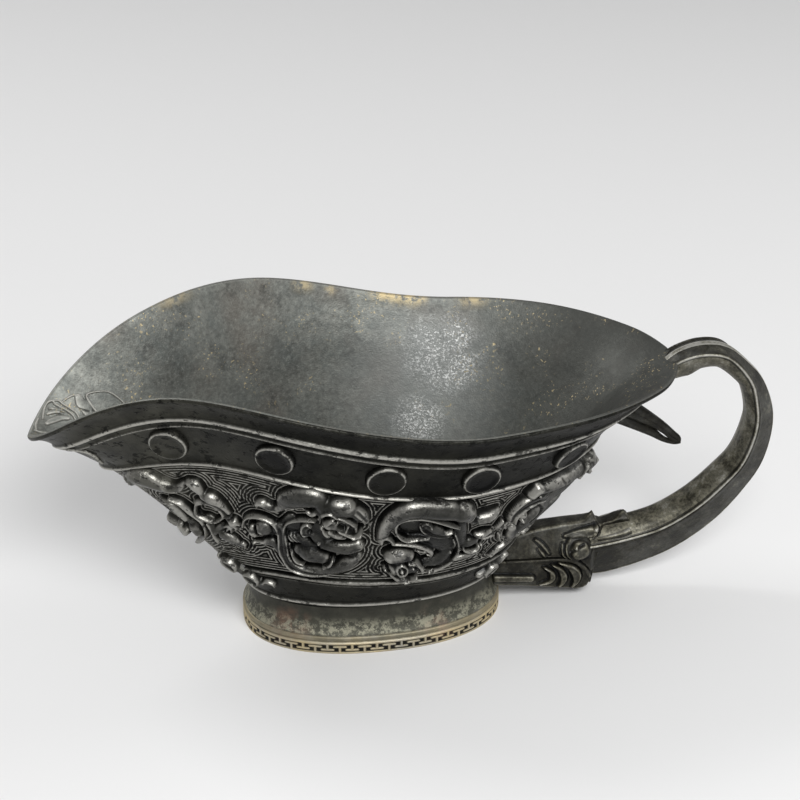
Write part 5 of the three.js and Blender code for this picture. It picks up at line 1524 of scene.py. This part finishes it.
class Bench:
    """Makes a material's nodes and joins them up."""

    def __init__(self, name):
        """An empty material, its output and the place on the object."""
        self.material = bpy.data.materials.new(name)
        self.material.use_nodes = True
        self.nodes = self.material.node_tree.nodes
        self.links = self.material.node_tree.links
        self.nodes.clear()
        self.output = self.nodes.new("ShaderNodeOutputMaterial")
        self.place = self.nodes.new("ShaderNodeTexCoord").outputs["Object"]

    def node(self, kind, **inputs):
        """A node with its inputs, named with _ for each space, joined or set."""
        made = self.nodes.new(kind)
        for name, value in inputs.items():
            self.feed(made.inputs[name.replace("_", " ")], value)
        return made

    def feed(self, socket, value):
        """Joins an output to a socket, or sets the socket's own value."""
        if isinstance(value, bpy.types.NodeSocket):
            self.links.new(value, socket)
        else:
            socket.default_value = value

    def noise(self, scale, detail, rough, stretch=None):
        """Cloudy noise over the object, finer the larger its scale."""
        where = self.place
        if stretch:
            mapping = self.node("ShaderNodeMapping", Vector=where, Scale=stretch)
            where = mapping.outputs["Vector"]
        made = self.node("ShaderNodeTexNoise", Vector=where, Scale=scale, Detail=detail, Roughness=rough)
        return made.outputs["Fac"]

    def maths(self, operation, a, b):
        """One operation on two values."""
        made = self.nodes.new("ShaderNodeMath")
        made.operation = operation
        self.feed(made.inputs[0], a)
        self.feed(made.inputs[1], b)
        return made.outputs[0]

    def plus(self, a, b):
        """Two values added."""
        return self.maths("ADD", a, b)

    def times(self, a, b):
        """Two values multiplied."""
        return self.maths("MULTIPLY", a, b)

    def swing(self, value, amount):
        """A noise measured from its middle value, times an amount."""
        return self.times(self.maths("SUBTRACT", value, 0.5), amount)

    def ramp(self, value, stops):
        """A colour that runs through stops, each a place from 0 to 1 and its colour."""
        made = self.node("ShaderNodeValToRGB", Fac=value)
        row = made.color_ramp.elements
        while len(row) < len(stops):
            row.new(0.5)
        for element, (place, colour) in zip(row, stops):
            element.position = place
            element.color = (*colour, 1)
        return made.outputs["Color"]

    def field(self, name):
        """A value kept at the piece's points."""
        made = self.nodes.new("ShaderNodeAttribute")
        made.attribute_name = name
        return made.outputs["Fac"]

    def blend(self, factor, a, b):
        """The first colour at 0, the second at 1."""
        made = self.nodes.new("ShaderNodeMix")
        made.data_type = "RGBA"
        for socket, value in ((made.inputs[0], factor), (made.inputs[6], a), (made.inputs[7], b)):
            if not isinstance(value, bpy.types.NodeSocket) and hasattr(value, "__len__"):
                value = (*value, 1)
            self.feed(socket, value)
        return made.outputs[2]

    def stain(self, colour, mask, amount, tint):
        """A colour that turns to a tint where a mask is high, by an amount at most."""
        return self.blend(self.times(mask, amount), colour, tint)

    def side(self, axis):
        """How far along one axis a place is."""
        return self.node("ShaderNodeSeparateXYZ", Vector=self.place).outputs[axis]

    def spread(self, value, low, high):
        """Part of a value's range stretched to 0 to 1."""
        made = self.node("ShaderNodeMapRange", Value=value, From_Min=low, From_Max=high)
        return made.outputs["Result"]

    def metal(self, colour, roughness, height, finish):
        """Shader and its bump: how metallic, the bump's size and strength, shine and coat."""
        metallic, size, strength, shine, coat = finish
        raised = self.node("ShaderNodeBump", Strength=strength, Distance=size, Height=height)
        shader = self.node(
            "ShaderNodeBsdfPrincipled", Base_Color=colour, Roughness=roughness, Metallic=metallic,
            Normal=raised.outputs["Normal"], Specular_IOR_Level=shine, Coat_Weight=coat,
            Coat_Roughness=COAT_ROUGHNESS,
        )
        self.links.new(shader.outputs["BSDF"], self.output.inputs["Surface"])
        return self.material

    def masked(self, centre, radius, soft):
        """1 inside a ball round a place on the object, falling to 0 at its soft edge."""
        made = self.node("ShaderNodeVectorMath", Vector=self.place)
        made.operation = "DISTANCE"
        made.inputs[1].default_value = centre
        far, close = radius + soft, radius - soft
        near = self.node("ShaderNodeMapRange", Value=made.outputs["Value"], From_Min=far, From_Max=close)
        near.interpolation_type = "SMOOTHSTEP"
        return near.outputs["Result"]

    def largest(self, places):
        """The largest of the masks round several places."""
        mask = 0.0
        for place in places:
            mask = self.maths("MAXIMUM", self.masked(*place), mask)
        return mask


def tinted(colour, shade):
    """A colour made lighter or darker."""
    return tuple(min(c * shade, 1) for c in colour)


def bronze_material(name, roughness, bright, finish):
    """Dark bronze: black in the hollows and bright where rubbed, partly patina and rubbed metal and partly
    painted shade and a painted highlight; cloudy, speckled and finely pitted.
    """
    c = colours()
    b = Bench(name)
    clouds = b.noise(70, 5, 0.6)
    mottle = b.noise(420, 4, 0.6)
    grain = b.noise(2600, 3, 0.6)
    specks = b.noise(1400, 3, 0.65)
    wear_and_light = b.plus(b.field("wear_and_light"), b.swing(mottle, 0.22))
    wear_and_light = b.plus(wear_and_light, b.swing(specks, 0.28))
    # From dark patina and painted shade where the wear_and_light field is low to rubbed bronze and a painted
    # highlight where it is high
    colour = b.ramp(wear_and_light, (
        (0.14, tinted(c.dark, 0.6)),
        (0.34, tinted(c.body, 0.8)),
        (0.5, tinted(c.body, 1.8)),
        (0.68, tinted(c.rubbed, 0.2 * bright)),
        (0.9, tinted(c.rubbed, bright)),
    ))
    by_spout = b.times(b.spread(b.side("X"), -0.035, -0.06), b.spread(clouds, 0.3, 0.6))
    colour = b.stain(colour, by_spout, 0.22, SPOUT_BROWN)
    spots = b.spread(b.noise(330, 3, 0.7, (1, 1, 1.6)), 0.56, 0.62)
    colour = b.stain(colour, spots, 0.8, tinted(c.dark, 0.8))
    colour = b.stain(colour, b.spread(clouds, 0.42, 0.75), 0.3, b.blend(0.35, colour, DULL_BROWN))
    rough = b.plus(b.times(grain, 0.16), roughness - 0.08)
    rough = b.plus(rough, b.times(spots, 0.15))
    height = b.plus(b.times(grain, 0.35), b.maths("SUBTRACT", mottle, spots))
    return b.metal(colour, rough, height, finish)


# Places inside the bowl, in metres, of the painted reflection of the lamp, granular bright patches: middle,
# size and softness
LAMP_REFLECTION_PATCHES = (
    ((0.0125, 0.028, 0.054), 0.0085, 0.004),
    ((0.0055, 0.023, 0.038), 0.0055, 0.003),
)
# The painted pale glow of that reflection round them
LAMP_REFLECTION_GLOW = ((0.007, 0.026, 0.046), 0.015, 0.013)
# Places on the far rim where its brass is bare
BARE_STRETCHES = (
    ((0.0025, 0.035, 0.068), 0.0065, 0.002),
    ((-0.0215, 0.0345, 0.0715), 0.002, 0.002),
    ((-0.0145, 0.035, 0.07), 0.001, 0.0015),
    ((-0.054, 0.026, 0.074), 0.003, 0.005),
    ((0.021, 0.033, 0.0655), 0.002, 0.004),
)
# The reddish patch on the foot and a fainter one
RED_PATCH = ((-0.030, -0.011, 0.005), 0.004, 0.004)
FAINT_RED = ((0.004, -0.019, 0.005), 0.004, 0.004)


def inside_material():
    """Grey metal inside the bowl: satin, mottled blue and green, with a painted reflection of the lamp
    as granular bright patches and a pale glow, painted shade towards the tail end, brassy specks and
    bare brass along parts of the far rim."""
    c = colours()
    b = Bench("bronze_inside")
    clouds = b.noise(45, 6, 0.7)
    mottle = b.noise(240, 6, 0.72)
    fine = b.noise(1000, 4, 0.75)
    grain = b.noise(3000, 2, 0.5)
    specks = b.noise(1500, 2, 0.5)
    colour = b.ramp(clouds, (
        (0.32, tinted(c.inside, 0.5)),
        (0.5, tinted(c.inside, 0.94)),
        (0.68, tinted(c.inside, 1.45)),
    ))
    veil = tinted((c.inside[0] * 0.9, c.inside[1] * 0.96, c.inside[2]), 0.74)
    colour = b.blend(b.spread(mottle, 0.42, 0.68), colour, veil)
    colour = b.stain(colour, b.spread(b.noise(60, 5, 0.7), 0.5, 0.66), 0.3, RUST)
    colour = b.stain(colour, b.spread(b.noise(150, 6, 0.75), 0.54, 0.68), 0.6, tinted(c.dark, 6))
    colour = b.stain(colour, b.spread(fine, 0.5, 0.7), 0.5, tinted(c.inside, 0.35))
    colour = b.stain(colour, b.spread(fine, 0.48, 0.3), 0.35, tinted(c.inside, 1.9))
    worn = b.field("wear_and_light")
    # On the spout figure, hollows darker and crests lighter: patina and rubbed metal, partly painted shade
    # and a painted highlight
    colour = b.stain(colour, b.spread(worn, 0.38, 0.05), 0.85, tinted(c.dark, 3))
    colour = b.stain(colour, b.spread(worn, 0.42, 0.8), 0.7, tinted(c.rubbed, 0.9))
    # Painted shade: darker towards the tail end
    shaded_tail_end = b.plus(b.side("X"), b.swing(clouds, 0.03))
    colour = b.stain(colour, b.spread(shaded_tail_end, 0.012, 0.045), 0.8, tinted(c.inside, 0.26))
    # The painted reflection of the lamp: a pale glow, a ragged grey patch and white grit
    patches = b.largest(LAMP_REFLECTION_PATCHES)
    colour = b.stain(colour, b.masked(*LAMP_REFLECTION_GLOW), 0.36, REFLECTION_GLOW_GREY)
    ragged_reflection = b.times(patches, b.spread(b.noise(180, 4, 0.7), 0.34, 0.6))
    colour = b.stain(colour, ragged_reflection, 0.3, REFLECTION_PATCH_GREY)
    reflection_grit = b.times(ragged_reflection, b.spread(b.noise(1700, 3, 0.75), 0.5, 0.58))
    colour = b.stain(colour, reflection_grit, 0.9, REFLECTION_GRIT_WHITE)
    gold = b.times(b.spread(specks, 0.63, 0.68), b.spread(b.noise(90, 3, 0.6), 0.5, 0.62))
    bare = b.times(b.field("near_rim"), b.largest(BARE_STRETCHES))
    bare = b.times(bare, b.spread(b.noise(520, 5, 0.75), 0.42, 0.52))
    gold = b.maths("MAXIMUM", b.times(gold, 0.85), bare)
    colour = b.blend(gold, colour, tuple(c.gold))
    rough = b.plus(b.times(mottle, 0.25), 0.38)
    height = b.plus(b.times(grain, 0.4), b.plus(mottle, reflection_grit))
    return b.metal(colour, rough, height, INSIDE_FINISH)


def handle_material():
    """Brown grey of the handle: duller than the bowl, lighter on its inner face, partly its own tone and
    partly painted light where that face turns up.
    """
    c = colours()
    b = Bench("bronze_handle")
    mottle = b.noise(300, 5, 0.65)
    grain = b.noise(2600, 3, 0.6)
    specks = b.noise(1300, 3, 0.7)
    clouds = b.noise(110, 6, 0.7)
    wear_and_light = b.plus(b.field("wear_and_light"), b.swing(mottle, 0.5))
    wear_and_light = b.plus(wear_and_light, b.swing(specks, 0.45))
    wear_and_light = b.plus(wear_and_light, b.swing(clouds, 0.7))
    colour = b.ramp(wear_and_light, (
        (0.1, tinted(c.dark, 1.2)),
        (0.34, tinted(c.handle, 0.2)),
        (0.5, tinted(c.handle, 0.5)),
        (0.66, tinted(c.handle, 1.7)),
        (0.9, c.rubbed),
    ))
    colour = b.stain(colour, b.spread(clouds, 0.45, 0.7), 0.35, HANDLE_GREY)
    rough = b.plus(b.times(mottle, 0.2), 0.36)
    height = b.plus(b.times(grain, 0.4), mottle)
    return b.metal(colour, rough, height, HANDLE_FINISH)


def foot_material():
    """Greenish brown foot with crumbly pale patina, worn brass on its fret and reddish patches."""
    c = colours()
    b = Bench("bronze_foot")
    mottle = b.noise(320, 5, 0.65)
    grain = b.noise(2600, 3, 0.6)
    clouds = b.noise(70, 5, 0.6)
    wear_and_light = b.plus(b.field("wear_and_light"), b.swing(mottle, 0.4))
    colour = b.ramp(wear_and_light, (
        (0.1, tinted(c.dark, 0.8)),
        (0.38, tinted(c.foot, 0.4)),
        (0.68, c.foot),
        (0.95, tinted(c.rubbed, 0.8)),
    ))
    crumbs = b.times(b.field("patina"), b.spread(b.noise(520, 5, 0.75), 0.46, 0.56))
    colour = b.blend(crumbs, colour, CRUMB_GREEN)
    gold = b.times(b.field("gold"), b.spread(clouds, 0.3, 0.6))
    colour = b.blend(gold, colour, tuple(c.gold))
    red = b.times(b.masked(*RED_PATCH), b.spread(b.noise(300, 4, 0.7), 0.4, 0.6))
    faint = b.times(b.masked(*FAINT_RED), b.spread(mottle, 0.5, 0.7))
    red = b.maths("MAXIMUM", red, b.times(faint, 0.5))
    colour = b.stain(colour, red, 0.6, tuple(c.red))
    rough = b.plus(b.times(mottle, 0.2), 0.38)
    height = b.plus(b.times(grain, 0.4), b.plus(mottle, crumbs))
    return b.metal(colour, rough, height, FOOT_FINISH)


def shared(name, maker, *settings):
    """A material by name, made the first time it is asked for."""
    return bpy.data.materials.get(name) or maker(*settings)


def outer_bronze():
    """The bronze of the plain wall, the carved ground and the studs."""
    return shared("bronze_body", bronze_material, "bronze_body", 0.42, 0.9, OUTER_FINISH)


def relief_bronze():
    """The bronze of the dragons and chains: smoother, with a thin coat."""
    return shared("bronze_relief", bronze_material, "bronze_relief", 0.34, 0.62, RELIEF_FINISH)


# Operators


class CUP_OT_bowl(bpy.types.Operator):
    """Bowl: a closed shell with raised lines, and the carved belt in four stretches"""

    bl_idname = "cup.bowl"
    bl_label = "Bowl"

    def execute(self, context):
        inside = shared("bronze_inside", inside_material)
        build_bowl(outer_bronze(), inside)
        build_belt(0, 50, "belt_spout", outer_bronze())
        build_belt(50, 100, "belt_tail", outer_bronze())
        build_spout_figure(inside)
        return {"FINISHED"}


class CUP_OT_studs(bpy.types.Operator):
    """Studs: five low round bosses on each side"""

    bl_idname = "cup.studs"
    bl_label = "Studs"

    def execute(self, context):
        for number, station in enumerate(STUD_STATIONS, 1):
            build_stud(number, station, outer_bronze())
        return {"FINISHED"}


class CUP_OT_dragons(bpy.types.Operator):
    """Dragons and chains: high relief on both sides of the bowl"""

    bl_idname = "cup.dragons"
    bl_label = "Dragons"

    def execute(self, context):
        for name, strokes in DRAGONS.items():
            build_relief(name, strokes, relief_bronze(), [name])
        for name, strokes in TRIMS.items():
            build_relief(name, strokes, outer_bronze())
        return {"FINISHED"}


class CUP_OT_foot(bpy.types.Operator):
    """Foot: a hollow oval ring with a fret border"""

    bl_idname = "cup.foot"
    bl_label = "Foot"

    def execute(self, context):
        build_foot(shared("bronze_foot", foot_material))
        return {"FINISHED"}


class CUP_OT_handle(bpy.types.Operator):
    """Handle: a ridged strap that ends in a dragon's head with a long jaw, and the tail curl"""

    bl_idname = "cup.handle"
    bl_label = "Handle"

    def execute(self, context):
        material = shared("bronze_handle", handle_material)
        build_strap(material)
        build_plate("handle_head", (HEAD_TOP, HEAD_BOTTOM), HEAD_ENDS, head_half, 0.8, HEAD_RELIEF, material)
        build_plate("handle_jaw", (JAW_TOP, JAW_BOTTOM), JAW_ENDS, jaw_half, 0.4, JAW_RELIEF, material)
        for name, way in (("handle_rod_front", -1), ("handle_rod_back", 1)):
            build_rod(name, way, material)
        build_curl(material)
        return {"FINISHED"}


# The camera: what it looks at, its turn and rise in degrees, distance and nearest place in
# metres, lens and sensor width in millimetres
TARGET = (-0.00266, 0.0, 0.05814)
CAMERA_TURN = -9.0
CAMERA_RISE = 30.0
CAMERA_DISTANCE = 0.5
CAMERA_NEAREST = 0.01
LENS = 95.2
SENSOR = 36
# The floor, in metres: its near edge, where it bends up, the bend's radius, its top and half width
FLOOR_NEAR = -2.0
FLOOR_FAR = 1.0
FLOOR_BEND = 0.5
FLOOR_TOP = 2.6
FLOOR_HALF = 2.5
# Strength of the white light from all round
DAYLIGHT = 0.3
# Lamps: name, place and size in metres, power in watts, all pointed at one place
LAMPS = (
    ("key", (0.1, -0.6, 0.65), (0.5, 0.3), 6.0),
    ("back", (-0.45, 0.35, 0.6), (0.3, 0.3), 2.0),
    ("side", (0.6, 0.1, 0.4), (0.25, 0.4), 1.0),
)
LAMP_TARGET = (0, 0, 0.04)


def pointed(made, where, target):
    """Places a lamp or camera and points it at a target."""
    made.location = where
    direction = Vector(target) - Vector(where)
    made.rotation_euler = direction.to_track_quat("-Z", "Y").to_euler()
    bpy.context.scene.collection.objects.link(made)
    return made


def add_lamp(name, where, size, energy):
    """A soft rectangular lamp."""
    lamp = bpy.data.lights.new(name, "AREA")
    lamp.shape = "RECTANGLE"
    lamp.size, lamp.size_y = size
    lamp.energy = energy
    pointed(bpy.data.objects.new(name, lamp), where, LAMP_TARGET)


def build_backdrop():
    """The pale floor: a straight line that bends up along a quarter circle, carried across."""
    turn = np.linspace(0, np.pi / 2, 24)
    out = np.concatenate([[FLOOR_NEAR], FLOOR_FAR + FLOOR_BEND * np.sin(turn), [FLOOR_FAR + FLOOR_BEND]])
    up = np.concatenate([[0.0], FLOOR_BEND - FLOOR_BEND * np.cos(turn), [FLOOR_TOP]])
    across = np.linspace(-FLOOR_HALF, FLOOR_HALF, 9)
    points = np.stack(np.broadcast_arrays(across[None, :], out[:, None], up[:, None]), -1)
    floor = make_mesh("backdrop", points, grid_faces(len(up), len(across)))
    b = Bench("pale_backdrop")
    pale = (*colours().floor, 1)
    shader = b.node("ShaderNodeBsdfPrincipled", Base_Color=pale, Roughness=0.9, Specular_IOR_Level=0.1)
    b.links.new(shader.outputs["BSDF"], b.output.inputs["Surface"])
    floor.data.materials.append(b.material)


def add_camera():
    """The camera, on a ball round its target."""
    rise = math.radians(CAMERA_RISE)
    turned = math.radians(CAMERA_TURN)
    flat = CAMERA_DISTANCE * math.cos(rise)
    where = (
        TARGET[0] + flat * math.sin(turned),
        TARGET[1] - flat * math.cos(turned),
        TARGET[2] + CAMERA_DISTANCE * math.sin(rise),
    )
    camera = bpy.data.cameras.new("photo_view")
    camera.lens = LENS
    camera.sensor_width = SENSOR
    camera.clip_start = CAMERA_NEAREST
    return pointed(bpy.data.objects.new("photo_view", camera), where, TARGET)


class CUP_OT_stage(bpy.types.Operator):
    """Stage: pale floor curving up into a backdrop, soft lamps and the camera"""

    bl_idname = "cup.stage"
    bl_label = "Stage"

    def execute(self, context):
        scene = context.scene
        build_backdrop()
        scene.world = bpy.data.worlds.new("studio")
        scene.world.use_nodes = True
        background = scene.world.node_tree.nodes["Background"]
        background.inputs["Color"].default_value = (1, 1, 1, 1)
        background.inputs["Strength"].default_value = DAYLIGHT
        for lamp in LAMPS:
            add_lamp(*lamp)
        scene.camera = add_camera()
        scene.view_settings.view_transform = "Standard"
        return {"FINISHED"}


class CUP_PT_panel(bpy.types.Panel):
    """Sidebar panel that lists the cup's pieces and sizes"""

    bl_label = "Bronze Cup"
    bl_idname = "CUP_PT_panel"
    bl_space_type = "VIEW_3D"
    bl_region_type = "UI"
    bl_category = "Bronze Cup"

    def draw(self, context):
        """A button for each operator, then the sizes and colours."""
        layout = self.layout
        for operator in OPERATORS:
            layout.operator(operator.bl_idname)
        for group in (context.scene.cup_sizes, context.scene.cup_colours):
            box = layout.box()
            for name in group.__annotations__:
                box.prop(group, name)


OPERATORS = (CUP_OT_bowl, CUP_OT_studs, CUP_OT_dragons, CUP_OT_foot, CUP_OT_handle, CUP_OT_stage)
CLASSES = (CupSizes, CupColours, *OPERATORS, CUP_PT_panel)


def register():
    """Adds the classes, and the sizes and colours to each scene."""
    for item in CLASSES:
        bpy.utils.register_class(item)
    bpy.types.Scene.cup_sizes = bpy.props.PointerProperty(type=CupSizes)
    bpy.types.Scene.cup_colours = bpy.props.PointerProperty(type=CupColours)


def unregister():
    """Takes away what register added."""
    del bpy.types.Scene.cup_colours
    del bpy.types.Scene.cup_sizes
    for item in reversed(CLASSES):
        bpy.utils.unregister_class(item)


def main():
    """Builds every piece and the stage."""
    register()
    bpy.ops.cup.bowl()
    bpy.ops.cup.studs()
    bpy.ops.cup.dragons()
    bpy.ops.cup.foot()
    bpy.ops.cup.handle()
    bpy.ops.cup.stage()


if __name__ == "__main__":
    main()
